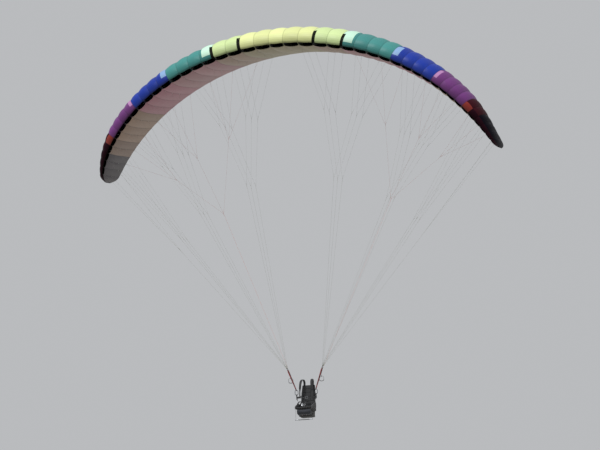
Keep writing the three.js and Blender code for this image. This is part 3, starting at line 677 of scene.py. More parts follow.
def inlet_hem(cover):
    """The inlets' rims, parted from the skin as bare edges, become tubes of folded tape."""
    rims = [o for o in bpy.context.scene.objects if o.name.startswith(cover.name + ".")][0]
    pick(rims)
    bpy.ops.object.convert(target="CURVE")
    rims.data.bevel_depth, rims.data.bevel_resolution = HEM_RADIUS, 1
    bpy.ops.object.convert(target="MESH")
    hem = set_material(bpy.context.object, CLOTH["dark"])
    seam_distance(hem, FAR_FROM_SEAMS)
    return hem

# %% Build every section
SECTIONS = [("yellow", 0, rib_index(-1, 2), rib_index(1, 2))]
BANDS = {"lime": (2, 4), "green": (4, 8), "blue": (8, 12), "purple": (12, 16), "red": (16, 18),
         "black": (18, 22)}
for side in (1, -1):
    for band, ends in BANDS.items():
        SECTIONS.append((band, side, *sorted(rib_index(side, rib) for rib in ends)))
TIPS, TIP_INSET = (0, len(RIBS) - 1), 0.0002


def side_word(side):
    return {1: "_left", -1: "_right", 0: "_centre"}[side]


SIDES = [(side, side_word(side)) for side in (1, -1)]


def own_ribs(side, first, last):
    """A rib between two sections belongs to the outer one, and a tip to its own section."""
    outer = {1: (last,), -1: (first,), 0: (first, last)}[side]
    return [k for k in range(first, last + 1) if k in TIPS or k not in outer]


canopy = {}
for band, side, first, last in SECTIONS:
    name = f"skin_{band}{side_word(side)}"
    cover = skin(name, band, side, first, last)
    hem = inlet_hem(cover)
    apply_modifier(cover, "SOLIDIFY", thickness=CLOTH_THICK, offset=-1)
    walls = []
    for k in own_ribs(side, first, last):
        tip = k in TIPS
        wall = rib_wall(RIBS[k] * (1 - TIP_INSET * tip), holes=not tip)
        set_material(wall, CLOTH[band if tip else "rib"])
        apply_modifier(wall, "SOLIDIFY", thickness=CLOTH_THICK, offset=0)
        walls.append(wall)
    canopy[band, side] = join([cover, hem, *walls], name)
print("canopy faces", sum(len(p.data.polygons) for p in canopy.values()))

# %% Smooth the cloth, but keep the dents at the ribs crisp
SEAM_ANGLE = 20


def smooth_shading(piece, angle=40):
    pick(piece)
    bpy.ops.object.shade_smooth_by_angle(angle=math.radians(angle))
    return piece


for piece in canopy.values():
    smooth_shading(piece, SEAM_ANGLE)

# %% [markdown]
# ## Swept shapes
# Straps, tabs, links and handles are all one section carried along a path. The section starts as a
# circle's ring of points, is extruded from station to station, and each new ring is set to its
# place there, as one would do by hand with extrude, move and turn. The number of each station and
# point travels with the points, and gives the piece a UV map in metres: u runs along the path and v
# round the section, so that a weave follows every bend. A curve with a bevel would be shorter, but
# its section can't change from a strap to an eye.

# %% Carry a ring of points from station to station
def sweep(name, rings, closed=False):
    rings = np.asarray(rings, float)
    stations, size = rings.shape[:2]
    piece = added(bpy.ops.mesh.primitive_circle_add, vertices=size, radius=1, calc_uvs=False)
    piece.name = piece.data.name = name
    mesh = edit_mode(piece, "EDGE", "SELECT")
    station_of = mesh.verts.layers.int.new("station")
    corner_of = mesh.verts.layers.int.new("corner")
    for k, v in enumerate(mesh.verts):
        v[corner_of], v.co = k, rings[0, k]
    for station in range(1, stations):
        bpy.ops.mesh.extrude_edges_move()
        for v in mesh.verts:
            if v.select:
                v[station_of], v.co = station, rings[station, v[corner_of]]
    for ends in ([(0, stations - 1)] if closed else [(0,), (stations - 1,)]):
        bpy.ops.mesh.select_all(action="DESELECT")
        for edge in mesh.edges:
            edge.select = edge.is_boundary and all(v[station_of] in ends for v in edge.verts)
        if closed:
            bpy.ops.mesh.bridge_edge_loops()
        else:
            bpy.ops.mesh.edge_face_add()
    close_mesh()
    unwrap(piece, rings, closed)
    return piece


def lengths(points):
    return np.concatenate([[0], np.cumsum(np.linalg.norm(np.diff(points, axis=0), axis=1))])


def unwrap(piece, rings, closed):
    """UV in metres: along the middle of the path, and round the section halfway."""
    stations, size = rings.shape[:2]
    middles, section = rings.mean(axis=1), rings[stations // 2]
    along = lengths(np.vstack([middles, middles[:1]]) if closed else middles)
    around = lengths(np.vstack([section, section[:1]]))
    mesh = piece.data
    numbers = np.zeros((2, len(mesh.vertices)), int)
    for row, name in zip(numbers, ("station", "corner")):
        mesh.attributes[name].data.foreach_get("value", row)
    layer = mesh.uv_layers.new(name="cloth")
    for face in mesh.polygons:
        places = numbers[:, list(face.vertices)]
        last_span = closed and np.ptp(places[0]) > stations // 2
        last_side = np.ptp(places[1]) > size // 2
        for loop, station, corner in zip(face.loop_indices, *places):
            station = stations if last_span and station == 0 else station
            corner = size if last_side and corner == 0 else corner
            layer.uv[loop].vector = (along[station], around[corner])

# %% Ribbons and tubes
WEB_SECTION = [(-1, -0.4), (-0.93, -1), (0, -1), (0.93, -1), (1, -0.4),
               (1, 0.4), (0.93, 1), (0, 1), (-0.93, 1), (-1, 0.4)]


def full_turn(count):
    """Angles all the way round, without the last, which is the first again."""
    return [2 * math.pi * k / count for k in range(count)]


def round_section(count):
    return [(math.cos(a), math.sin(a)) for a in full_turn(count)]


def directions(points, closed):
    points = np.asarray([tuple(p) for p in points], float)
    if closed:
        along = np.roll(points, -1, axis=0) - np.roll(points, 1, axis=0)
    else:
        along = np.gradient(points, axis=0)
    return points, along / np.linalg.norm(along, axis=1, keepdims=True)


def square_to(along, across):
    """What is left of across, square to each direction along, at length one."""
    side = np.broadcast_to(np.asarray(across, float), along.shape)
    side = side - along * np.sum(side * along, axis=1, keepdims=True)
    return side / np.linalg.norm(side, axis=1, keepdims=True)


def flat_rings(points, across, width, thick, section=WEB_SECTION, closed=False):
    """Rings of a flat section; across, width and thick may be one value or one for each point."""
    points, along = directions(points, closed)
    side = square_to(along, across)
    face = np.cross(along, side)
    width, thick = (np.broadcast_to(np.asarray(v, float), len(points)) / 2 for v in (width, thick))
    a, b = np.array(section).T
    return (points[:, None] + side[:, None] * (width[:, None] * a)[..., None]
            + face[:, None] * (thick[:, None] * b)[..., None])


def ribbon(name, points, across, width, thick, closed=False):
    return sweep(name, flat_rings(points, across, width, thick, closed=closed), closed)


def ends_at(outer, inner):
    """Sizes of a short ribbon at its four stations, less at both ends."""
    return [outer, inner, inner, outer]


def tube(name, points, across, radius, sides=12, closed=False):
    wide = 2 * np.asarray(radius)
    return sweep(name, flat_rings(points, across, wide, wide, round_section(sides), closed), closed)


def smooth_path(points, steps):
    """A centripetal Catmull-Rom curve through the points."""
    p = np.array([tuple(q) for q in points], float)
    p = np.vstack([2 * p[0] - p[1], p, 2 * p[-1] - p[-2]])
    curve = []
    for step in range(steps + 1):
        place = step / steps * (len(points) - 1)
        k = min(int(place), len(points) - 2)
        local = p[k:k + 4]
        gaps = np.maximum(np.linalg.norm(np.diff(local, axis=0), axis=1) ** 0.5, 1e-6)
        x0, x1, x2, x3 = np.concatenate([[0], np.cumsum(gaps)])
        x = x1 + (place - k) * (x2 - x1)
        a1, a2, a3 = ((local[i] * (b - x) + local[i + 1] * (x - a)) / (b - a)
                      for i, (a, b) in enumerate(((x0, x1), (x1, x2), (x2, x3))))
        b1, b2 = (a1 * (x2 - x) + a2 * (x - x0)) / (x2 - x0), (a2 * (x3 - x) + a3 * (x - x1)) / (x3 - x1)
        curve.append((b1 * (x2 - x) + b2 * (x - x1)) / (x2 - x1))
    return np.array(curve)

# %% [markdown]
# ## Lines
# A glider hangs on about 250 m of line: thin cores of aramid or polyethylene fibre, each end sewn
# back into a small loop. Lines meet loop through loop. One line is turned here as a hexagonal rod
# with its thick sewn ends, and one knot as two crossed rings. Both are copied to every place, and
# only the middle of a line is stretched, so the sewn ends keep their length.

# %% Where the lines start and end
HANG = Vector((0.22, 0.05, -7.7))
ROWS = {"a": 0.12, "b": 0.33, "c": 0.58}
MAIN_GROUPS = [[(1, 3), (5, 7)], [(9, 11), (13, 15)], [(17, 19)]]
STABILO_ANCHORS = [(21, 0.16), (21, 0.5), (20, 0.74)]
BRAKE_GROUPS = [(3, 5, 7), (9, 11, 13), (15, 17, 19)]
BRAKE_SHARE = 0.972
MAIN_FORK, UPPER_FORK = 0.6, 0.52
MAIN_RADIUS, UPPER_RADIUS, LINE_SPACING = 0.0012, 0.0009, 0.0028
LOWER_KNOTS = [(0, 0), (0.01, -0.018), (0.05, -0.035), (0.12, -0.045), (0.3, -0.05),
               (0.5, -0.042), (0.75, -0.02), (1, 0)]
TAB_OUT, TAB_IN, TAB_WIDTH, TOUCH = 0.022, 0.008, 0.012, 0.0003
RISER_LENGTH, MAILLON_UP, MAILLON_WIRE = 0.5, 0.03, 0.002


def anchor(side, rib, share):
    """The rib and the place on its lower edge where a line is sewn on."""
    t = RIBS[rib_index(side, rib)]
    height = np.interp(share, *zip(*LOWER_KNOTS))
    return rib, Vector(wing(t, share, float(height * chord_at(t) * thickness_at(t))))


def middle_of(points):
    return sum(points, Vector()) / len(points)


def feet(anchors):
    return [place for _, place in anchors]


def hang(side):
    return Vector((side * HANG.x, HANG.y, HANG.z))


def row_direction(side, row):
    ribs = [rib for groups in MAIN_GROUPS for pair in groups for rib in pair]
    target = middle_of(feet([anchor(side, rib, ROWS[row]) for rib in ribs]))
    return (target - hang(side)).normalized()


def spread_starts(start, targets):
    along = (middle_of(targets) - start).normalized()
    across = targets[-1] - targets[0]
    across = (across - along * across.dot(along)).normalized()
    half = (len(targets) - 1) / 2
    return [start + across * (k - half) * LINE_SPACING for k in range(len(targets))]

# %% The cascade from one start to its anchors
def gallery(split, anchors):
    """The upper lines end just short of their anchor tabs."""
    lines, tabs = [], []
    for start, (rib, end) in zip(spread_starts(split, feet(anchors)), anchors):
        along = (split - end).normalized()
        lines.append((start, end + along * (TAB_OUT + TOUCH), UPPER_RADIUS))
        tabs.append((rib, end, along))
    return lines, [split], tabs


def line_tree(start, groups):
    """Lines, knots and tabs of one main line, which forks into groups of anchors."""
    fork = start.lerp(middle_of(feet(a for group in groups for a in group)), MAIN_FORK)
    lines, knots, tabs = [(start, fork, MAIN_RADIUS)], [fork], []
    if len(groups) == 1:
        upper = gallery(fork, groups[0])
        return lines + upper[0], knots, upper[2]
    splits = [fork.lerp(middle_of(feet(group)), UPPER_FORK) for group in groups]
    for begin, split, group in zip(spread_starts(fork, splits), splits, groups):
        upper = gallery(split, group)
        lines += [(begin, split, UPPER_RADIUS), *upper[0]]
        knots, tabs = knots + upper[1], tabs + upper[2]
    return lines, knots, tabs

# %% Turn one line and tie one knot
SEWN_LENGTH, SEWN_END, SEWN_TAPER, SEWN_THICKER, LINE_TIP = 0.07, 0.004, 0.02, 1.7, 0.55
HALF_TEMPLATE = 0.15


def make_line():
    """A line of radius 1 along Z, thicker for SEWN_LENGTH at each end."""
    piece = added(bpy.ops.mesh.primitive_circle_add, vertices=6, radius=LINE_TIP, fill_type="NGON")
    edit_mode(piece, action="SELECT")
    plain = 2 * (HALF_TEMPLATE - SEWN_LENGTH - SEWN_TAPER)
    steps = [(SEWN_END, SEWN_THICKER), (SEWN_LENGTH - SEWN_END, SEWN_THICKER), (SEWN_TAPER, 1.0),
             (plain, 1.0), (SEWN_TAPER, SEWN_THICKER), (SEWN_LENGTH - SEWN_END, SEWN_THICKER),
             (SEWN_END, LINE_TIP)]
    radius = LINE_TIP
    for rise, wanted in steps:
        bpy.ops.mesh.extrude_region_move(TRANSFORM_OT_translate={"value": (0, 0, rise)})
        bpy.ops.transform.resize(value=(wanted / radius, wanted / radius, 1))
        radius = wanted
    close_mesh()
    return piece


def make_knot():
    """Two loops drawn through each other, each 8 mm across."""
    rings = []
    for turn in ((0, 0, 0), (math.pi / 2, 0, 0.6)):
        rings.append(added(bpy.ops.mesh.primitive_torus_add, major_segments=10, minor_segments=6,
                           major_radius=0.0026, minor_radius=0.0014, rotation=turn))
        bpy.ops.object.transform_apply(location=True, rotation=True, scale=True)
    return join(rings, "knot_template")


line_template, knot_template = make_line(), make_knot()
print("line", len(line_template.data.vertices), "knot", len(knot_template.data.vertices), "points")

# %% Copy them to their places
def copy_with(piece, points, name="copy"):
    """A copy of a piece with its own mesh, whose points are moved to new places."""
    copied = bpy.data.objects.new(name, piece.data.copy())
    bpy.context.scene.collection.objects.link(copied)
    return move_points(copied, points)


def axes(along, across):
    """Three directions at right angles: across, the third, and along."""
    along = Vector(along).normalized()
    first = (Vector(across) - along * along.dot(Vector(across))).normalized()
    return np.array([first, along.cross(first), along])


def place_line(start, end, radius):
    shape = points_of(line_template)
    stretch = (end - start).length - 2 * HALF_TEMPLATE
    shape[:, 2] += np.where(shape[:, 2] > HALF_TEMPLATE, stretch, 0)
    shape[:, :2] *= radius
    return copy_with(line_template, np.array(start) + shape @ axes(end - start, (0, 1, 0)))


def place_copy(template, place, along, across):
    return copy_with(template, np.array(place) + points_of(template) @ axes(along, across))

# %% [markdown]
# Each upper line passes through an anchor tab: a folded ribbon of polyester, sewn into the seam of
# a rib and the lower skin, with an open eye at its fold. The tab is a ribbon swept out of the seam,
# round the eye and back.

# %% Make one anchor tab
TAB_PLY, TAB_EYE = 0.0009, 0.0020


def make_tab():
    """Z runs out of the seam and X across the ribbon."""
    top = TAB_OUT - TAB_EYE - TAB_PLY / 2
    turns = [math.pi * k / 8 for k in range(9)]
    arc = [(0, -TAB_EYE * math.cos(turn), top + TAB_EYE * math.sin(turn)) for turn in turns]
    half = TAB_PLY / 2
    path = [(0, -half, -TAB_IN), (0, -half, top - 0.008), (0, -TAB_EYE, top - 0.003), *arc,
            (0, TAB_EYE, top - 0.003), (0, half, top - 0.008), (0, half, -TAB_IN)]
    return ribbon("tab_template", path, (1, 0, 0), TAB_WIDTH, TAB_PLY)


tab_template = make_tab()
smooth_shading(tab_template)
print("tab", len(tab_template.data.polygons), "faces")

# %% [markdown]
# Unsheathed line is a bare braid of fine fibres under a coating, so it has a slanting grain and a
# dull gleam. The braid is drawn at 6 mm, twice its real pitch, so that it shows close up. Webbing
# is woven flat, with a rib every two millimetres along it and a smooth selvedge at each edge.

# %% Braid and webbing
BRAID_PITCH, RIB_PITCH, WEAR_SCALE = 0.006, 0.0022, 60.0


def braid(name, code, shade):
    material, tree, shader = new_material(name, Roughness=0.6, Sheen_Weight=0.25)
    place = add_node(tree, "TexCoord", out="Object")
    weave = add_node(tree, "TexWave", {"Scale": WAVE_PERIOD / BRAID_PITCH, "Distortion": 1.5,
                                       "Detail": 1.0, "Vector": place},
                     "Fac", bands_direction="DIAGONAL")
    colour = add_node(tree, "Mix", {"A": shade, "B": code, "Factor": weave},
                      "Result", data_type="RGBA")
    bump = add_node(tree, "Bump", {"Strength": 0.5, "Distance": 0.0004, "Height": weave})
    plug(tree, shader, {"Base Color": colour, "Normal": bump})
    return material


def webbing(name, code, shade):
    """Polyester webbing, with ribs across it and darker where it is rubbed."""
    material, tree, shader = new_material(name, Roughness=0.72, Sheen_Weight=0.3,
                                          Sheen_Roughness=0.5)
    cloth = add_node(tree, "UVMap", uv_map="cloth")
    ribs = add_node(tree, "TexWave", {"Scale": WAVE_PERIOD / RIB_PITCH, "Vector": cloth}, "Fac",
                    bands_direction="X")
    rubbed = add_node(tree, "TexNoise", {"Scale": WEAR_SCALE, "Detail": 4.0, "Vector": cloth}, "Fac")
    worn = add_node(tree, "Math", {0: ribs, 1: 0.6, 2: rubbed}, operation="MULTIPLY_ADD")
    colour = add_node(tree, "Mix", {"A": shade, "B": code, "Factor": worn},
                      "Result", data_type="RGBA")
    bump = add_node(tree, "Bump", {"Strength": 0.7, "Distance": 0.0005, "Height": ribs})
    plug(tree, shader, {"Base Color": colour, "Normal": bump})
    return material


def moulded_rubber():
    material, tree, shader = new_material("moulded_rubber_black", Roughness=0.55)
    place = add_node(tree, "TexCoord", out="Object")
    grain = add_node(tree, "TexNoise", {"Scale": 900.0, "Detail": 2.0, "Vector": place}, "Fac")
    colour = add_node(tree, "Mix", {"A": "#141414", "B": "#26262a", "Factor": grain},
                      "Result", data_type="RGBA")
    plug(tree, shader, {"Base Color": colour})
    return material


LINE_BRAID = braid("aramid_braid_grey", "#8f9184", "#5d6058")
BLACK_BRAID = braid("polyester_braid_black", "#2a2b2e", "#151618")
BRAKE_BRAID = braid("polyester_braid_orange", "#c65a33", "#8c3a22")
WEB_BLACK = webbing("polyester_webbing_black", "#1f2023", "#111214")
WEB_RED = webbing("polyester_webbing_red", "#7d1c1e", "#4a1012")
TAB_WEB = webbing("polyester_tape_white", "#b9b8b2", "#8f8e88")
RUBBER = moulded_rubber()
for template, material in ((line_template, LINE_BRAID), (knot_template, LINE_BRAID),
                           (tab_template, TAB_WEB)):
    set_material(template, material)

# %% String up every row
INSERT = {"width": 0.010, "length": 0.009, "lines_up": 0.004}
STABILO_INSERT = {"out": 0.011, "up": 0.002, "width": 0.004, "length": 0.006, "lines_up": 0.002}
INSERT_THICK = 0.005
PULLEY_UP, PULLEY_BEHIND, PULLEY_RADIUS, PULLEY_WIDTH = 0.38, 0.026, 0.012, 0.008


def riser_top(side, row):
    return hang(side) + row_direction(side, row) * RISER_LENGTH


def pulley_centre(side):
    return hang(side) + row_direction(side, "c") * PULLEY_UP + Vector((0, PULLEY_BEHIND, 0))


def row_trees(side, row):
    up = row_direction(side, row)
    seat = riser_top(side, row) + up * (MAILLON_UP + MAILLON_WIRE + TOUCH)
    trees = []
    for k, groups in enumerate(MAIN_GROUPS):
        start = seat + up * INSERT["lines_up"] + Vector((side * (k - 1) * LINE_SPACING, 0, 0))
        trees.append(line_tree(start, [[anchor(side, rib, ROWS[row]) for rib in pair]
                                       for pair in groups]))
    return seat, trees


def stabilo_tree(side):
    up = row_direction(side, "b")
    over = MAILLON_UP + MAILLON_WIRE + TOUCH + STABILO_INSERT["up"]
    seat = riser_top(side, "b") + up * over + Vector((side * STABILO_INSERT["out"], 0, 0))
    anchors = [anchor(side, rib, share) for rib, share in STABILO_ANCHORS]
    return seat, [line_tree(seat + up * STABILO_INSERT["lines_up"], [anchors])]


def brake_tree(side):
    start = pulley_centre(side) + Vector((0, 0, PULLEY_RADIUS + TOUCH + MAIN_RADIUS))
    groups = [[anchor(side, rib, BRAKE_SHARE) for rib in ribs] for ribs in BRAKE_GROUPS]
    return line_tree(start, groups)


def rubber_insert(seat, up, size):
    """A moulded clip that keeps the lines in the middle of their connector."""
    places = [seat + up * d for d in (0, size["length"] * 0.4, size["length"])]
    return set_material(ribbon("insert", places, (1, 0, 0), size["width"], INSERT_THICK), RUBBER)

# %% Join each row's lines into one piece
anchor_tabs = {1: [], -1: []}


def strung(side, trees):
    """The copies that make up one side's trees. Their tabs wait for the canopy."""
    pieces = []
    for lines, knots, tabs in trees:
        pieces += [place_line(*line) for line in lines]
        pieces += [place_copy(knot_template, knot, (0, 0, 1), (0, 1, 0)) for knot in knots]
        anchor_tabs[side] += tabs
    return pieces


def ride_on(piece, body, slot, *nodes, fill=None):
    """Hides the nodes that a piece replaces, lets the body carry it and prints its faces. fill is not used.
    """
    if nodes:
        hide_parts(*nodes)
    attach(piece, body)
    print(piece.name, len(piece.data.polygons), "faces")


for side, word in SIDES:
    for row in ROWS:
        seat, trees = row_trees(side, row)
        clip = rubber_insert(seat, row_direction(side, row), INSERT)
        piece = join([clip, *strung(side, trees)], f"{row}_line_cascade{word}")
        ride_on(smooth_shading(piece, 50), "wing", "line", f"{row}_lines{word}")
    seat, trees = stabilo_tree(side)
    clip = rubber_insert(seat, row_direction(side, "b"), STABILO_INSERT)
    piece = join([clip, *strung(side, trees)], f"stabilo_cascade{word}")
    ride_on(smooth_shading(piece, 50), "wing", "line", f"stabilo_line{word}")
print("anchor tabs", {side: len(tabs) for side, tabs in anchor_tabs.items()})

# %% [markdown]
# ## The brake lines
# Pulling a brake draws the middle of that half's trailing edge down by a hand's breadth or more.
# The two bodies that meet there are the wing and the brake handle, which slides down by 0.55 m.
# Here the cloth and the brake's lines keep the places they are made in, and don't follow the
# handle.


def droop(piece):
    """Writes the piece's place into its points, where it stays."""
    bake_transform(piece)


for side, word in SIDES:
    pieces = [set_material(piece, BRAKE_BRAID) for piece in strung(side, [brake_tree(side)])]
    piece = smooth_shading(join(pieces, f"brake_cascade{word}"), 50)
    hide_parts(f"brake_lines{word}")
    droop(piece)

# %% Sew the tabs on and let the centre section ride on the wing
def tabs_of(band, side):
    first, last = BANDS.get(band, (-1, 2))
    places = [tab for s in ((1, -1) if side == 0 else (side,)) for tab in anchor_tabs[s]]
    return [place_copy(tab_template, place, along, (0, 1, 0))
            for rib, place, along in places if first < rib < last]


for (band, side), cover in canopy.items():
    piece = join([cover, *tabs_of(band, side)], cover.name)
    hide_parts(f"canopy_{band}{side_word(side)}")
    if side == 0:
        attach(piece, "wing")
    else:
        droop(piece)
for template in (line_template, knot_template, tab_template):
    bpy.data.objects.remove(template)

# %% [markdown]
# ## Metals
# Connectors and rings are stainless steel, polished in a tumbler, so they mirror the room softly.
# The pulleys and carabiners are machined or forged aluminium, anodised grey or black: a thin hard
# oxide that dulls the shine. Fine rubbing marks break both, by a noise on roughness and tone.

# %% Metals
def metal(name, code, roughness, grain_size):
    """Polished or anodised metal, with fine rubbing marks that break the shine."""
    material, tree, shader = new_material(name, Metallic=1.0)
    place = add_node(tree, "TexCoord", out="Object")
    marks = add_node(tree, "TexNoise", {"Scale": 1 / grain_size, "Detail": 6.0, "Vector": place}, "Fac")
    rough = add_node(tree, "MapRange", {"Value": marks, "To Min": roughness * 0.75,
                                        "To Max": roughness * 1.4})
    tone = add_node(tree, "MapRange", {"Value": marks, "To Min": 0.86})
    colour = add_node(tree, "VectorMath", {0: linear(code)[:3], "Scale": tone}, operation="SCALE")
    plug(tree, shader, {"Base Color": colour, "Roughness": rough})
    return material


STEEL = metal("stainless_steel_polished", "#aeb0b3", 0.3, 0.004)
ALLOY = metal("anodised_aluminium_grey", "#8d9299", 0.34, 0.003)
ALLOY_DARK = metal("anodised_aluminium_black", "#33363b", 0.4, 0.003)

# %% [markdown]
# ## Risers
# Between the lines and the harness, each side has three straps of 22 mm webbing, one for each row.
# They are sewn together round the carabiner and part like fingers, each folded narrow at its end
# round a small steel connector. Swept straps hold to the solids' places, and their stations can
# narrow into the eyes.

# %% Risers
BAR_RADIUS, LOOP_PLAY, WEB_THICK, RISER_WIDTH = 0.006, 0.001, 0.003, 0.022
EYE_WIDTH, EYE_THICK = 0.010, 0.002
STRAP_THICK, FOLDED_THICK, STACK = 0.0026, 0.0038, 0.0031
X_AXIS, Y_AXIS, Z_AXIS = Vector((1, 0, 0)), Vector((0, 1, 0)), Vector((0, 0, 1))


def eye_ring(name, centre, axis, inner, thick, width, stations=14):
    """A strap's eye: webbing closed round a bar that runs along axis."""
    axis = Vector(axis).normalized()
    sideways = axis.cross(Z_AXIS).normalized()
    upward = sideways.cross(axis)
    points = [centre + (sideways * math.cos(a) + upward * math.sin(a)) * (inner + thick / 2)
              for a in full_turn(stations)]
    return ribbon(name, points, axis, width, thick, closed=True)


def riser(side, row, order):
    """One strap from the sewn foot to its narrow eye; order stacks the three at the foot."""
    up = row_direction(side, row)
    bar = MAILLON_WIRE + TOUCH
    top = RISER_LENGTH - bar - 0.001
    narrowing = (top - 0.05, top - 0.035, top - 0.02, top)
    along = np.array([0.012, 0.02, 0.045, 0.07, 0.09, 0.12, 0.2, 0.3, 0.4, *narrowing])
    stacked = order * STACK * np.maximum(0, 1 - along / 0.1)
    places = np.array(hang(side)) + along[:, None] * np.array(up) + stacked[:, None] * (0, 1, 0)
    widths = np.interp(along, (top - 0.05, top - 0.02), (RISER_WIDTH, EYE_WIDTH))
    folded = np.where(widths < 0.02, FOLDED_THICK, STRAP_THICK)
    strap = ribbon("riser", places, X_AXIS, widths, folded)
    ring = eye_ring("eye", riser_top(side, row), X_AXIS - up * up.x, bar, EYE_THICK, EYE_WIDTH)
    return [strap, ring]

# %% [markdown]
# The foot of the risers is wrapped in a sewn sleeve. On the front strap sits the speed system: a
# cord that runs over two small pulleys and ends in a split hook, which clips to the foot bar's
# cord. Its own motion is left out, and the hook hangs where it waits.

# %% Sleeve and speed system
SLEEVE_FROM, SLEEVE_TO = 0.018, 0.088
SPEED_LOW, SPEED_HIGH, SPEED_AHEAD = 0.15, 0.3, 0.007
CORD_RADIUS = 0.0014


def riser_sleeve(side):
    up = row_direction(side, "b")
    along = (SLEEVE_FROM, SLEEVE_FROM + 0.002, 0.04, 0.065, SLEEVE_TO - 0.002, SLEEVE_TO)
    widths = [0.022, 0.0245, 0.025, 0.025, 0.0245, 0.022]
    heights = [0.009, 0.0112, 0.0124, 0.0124, 0.0112, 0.009]
    return ribbon("sleeve", [hang(side) + up * d for d in along], X_AXIS, widths, heights)


def new_cylinder(radius, depth, place=(0, 0, 0), vertices=16, turned=(0, math.pi / 2, 0)):
    """A cylinder along X, with its place in its mesh."""
    piece = added(bpy.ops.mesh.primitive_cylinder_add, vertices=vertices, radius=radius,
                  depth=depth, location=place, rotation=turned)
    bpy.ops.object.transform_apply(location=True, rotation=True, scale=True)
    return piece


def grooved_wheel(radius, depth, groove):
    """A sheave: the rim is inset and drawn in to make its groove, and the hub stands proud."""
    wheel = new_cylinder(radius, depth, vertices=24)
    mesh = edit_mode(wheel)
    for face in mesh.faces:
        face.select = abs(face.normal.x) < 0.5
    bpy.ops.mesh.inset(thickness=depth * 0.16, use_boundary=True)
    bpy.ops.transform.resize(value=(0.8, groove, groove), center_override=(0, 0, 0))
    object_mode()
    return wheel


def cheek(x, width, height, thick):
    """A side plate with round ends, drawn from a disc."""
    plate = new_cylinder(width / 2, thick, (x, 0, 0))
    mesh = edit_mode(plate, "VERT")
    for upper in (True, False):
        for v in mesh.verts:
            v.select = (v.co.z > 1e-5) if upper else (v.co.z < -1e-5)
        shift = (height - width) / 2 * (1 if upper else -1)
        bpy.ops.transform.translate(value=(0, 0, shift))
    object_mode()
    bevel(plate, thick * 0.3)
    return plate


def at_place(piece, place, along=Z_AXIS, across=X_AXIS):
    """Moves a piece made at the origin to its place, Z along a direction."""
    return move_points(piece, np.array(place) + points_of(piece) @ axes(along, across))


def small_pulley(place, up):
    parts = (grooved_wheel(0.0078, 0.005, 0.7), cheek(-0.0033, 0.0125, 0.021, 0.0011),
             cheek(0.0033, 0.0125, 0.021, 0.0011), new_cylinder(0.0018, 0.0095, vertices=8))
    return [at_place(set_material(part, ALLOY), place, up) for part in parts]


def split_hook(place, up):
    """A flat aluminium hook: a ring with a slanting gap."""
    points = [(0.006 * math.cos(math.radians(a)), 0, 0.008 * math.sin(math.radians(a)))
              for a in range(65, 415, 25)]
    hook = set_material(tube("hook", points, Y_AXIS, 0.0017, 8), ALLOY)
    return at_place(hook, place - up * 0.008, up)


def speed_system(side):
    up = row_direction(side, "a")
    ahead = Y_AXIS * -SPEED_AHEAD
    low, high = (hang(side) + up * d + ahead for d in (SPEED_LOW, SPEED_HIGH))
    rear, front = Y_AXIS * 0.006, Y_AXIS * -0.006
    hook_at = low - up * 0.045 + front * 0.2
    runs = [(low + front + up * 0.004, high + front - up * 0.004),
            (high + rear + up * 0.002, high + rear - up * 0.1),
            (low + front * 0.2 - up * 0.006, hook_at)]
    pieces = [*small_pulley(low, up), *small_pulley(high, up)]
    for start, end in runs:
        cord = tube("cord", [start.lerp(end, k / 3) for k in range(4)], X_AXIS, CORD_RADIUS, 8)
        pieces.append(set_material(cord, BLACK_BRAID))
    return [*pieces, split_hook(hook_at, up)]

# %% [markdown]
# ## Connectors
# Each riser ends in a small link of 4 mm steel wire, bent to a narrow rectangle and closed by a
# threaded hexagonal sleeve. A torus would be round, so the wire's ring of points is carried round
# a rounded rectangle instead. One link is made and copied six times.

# %% A link of round bar
def rounded_rectangle(half_width, half_height, corner, steps):
    outline = []
    for sx, sy, start in ((1, 1, 0), (-1, 1, 90), (-1, -1, 180), (1, -1, 270)):
        for k in range(steps + 1):
            turn = math.radians(start + 90 * k / steps)
            outline.append((sx * (half_width - corner) + corner * math.cos(turn), 0,
                            sy * (half_height - corner) + corner * math.sin(turn)))
    return outline


def make_maillon():
    """Link with its threaded sleeve, centred on the origin with Z along the riser."""
    link = tube("link", rounded_rectangle(0.008, 0.015, 0.0035, 4), Y_AXIS, MAILLON_WIRE, 10, True)
    nut = new_cylinder(0.0036, 0.013, (0.008, 0, 0), 6, (0, 0, 0))
    bevel(nut, 0.0005)
    thread = new_cylinder(0.0023, 0.017, (0.008, 0, 0), 12, (0, 0, 0))
    return set_material(smooth_shading(join([link, nut, thread], "maillon_template")), STEEL)


maillon_template = make_maillon()
for side, word in SIDES:
    parts = []
    for order, row in zip((-1, 0, 1), ROWS):
        up = row_direction(side, row)
        centre = np.array(riser_top(side, row) + up * (MAILLON_UP / 2))
        piece = copy_with(maillon_template, centre + points_of(maillon_template) @ axes(up, X_AXIS),
                          f"connector_{row}{word}")
        ride_on(piece, "wing", "steel", f"maillon_{row}{word}")
        parts += riser(side, row, order)
    parts.append(eye_ring("loop", hang(side), X_AXIS, BAR_RADIUS + LOOP_PLAY, WEB_THICK, RISER_WIDTH, 20))
    tape_at = (-PULLEY_BEHIND, -0.0185, -PULLEY_RADIUS - TOUCH)
    parts.append(ribbon("tape", [pulley_centre(side) + Y_AXIS * d for d in tape_at], X_AXIS, 0.012,
                        [0.0035, 0.002, 0.002]))
    parts.append(riser_sleeve(side))
    for part in parts:
        set_material(part, WEB_BLACK)
    set_material(parts[0], WEB_RED)
    whole = smooth_shading(join([*parts, *speed_system(side)], f"riser_set{word}"))
    ride_on(whole, "wing", "webbing", f"risers{word}")
bpy.data.objects.remove(maillon_template)

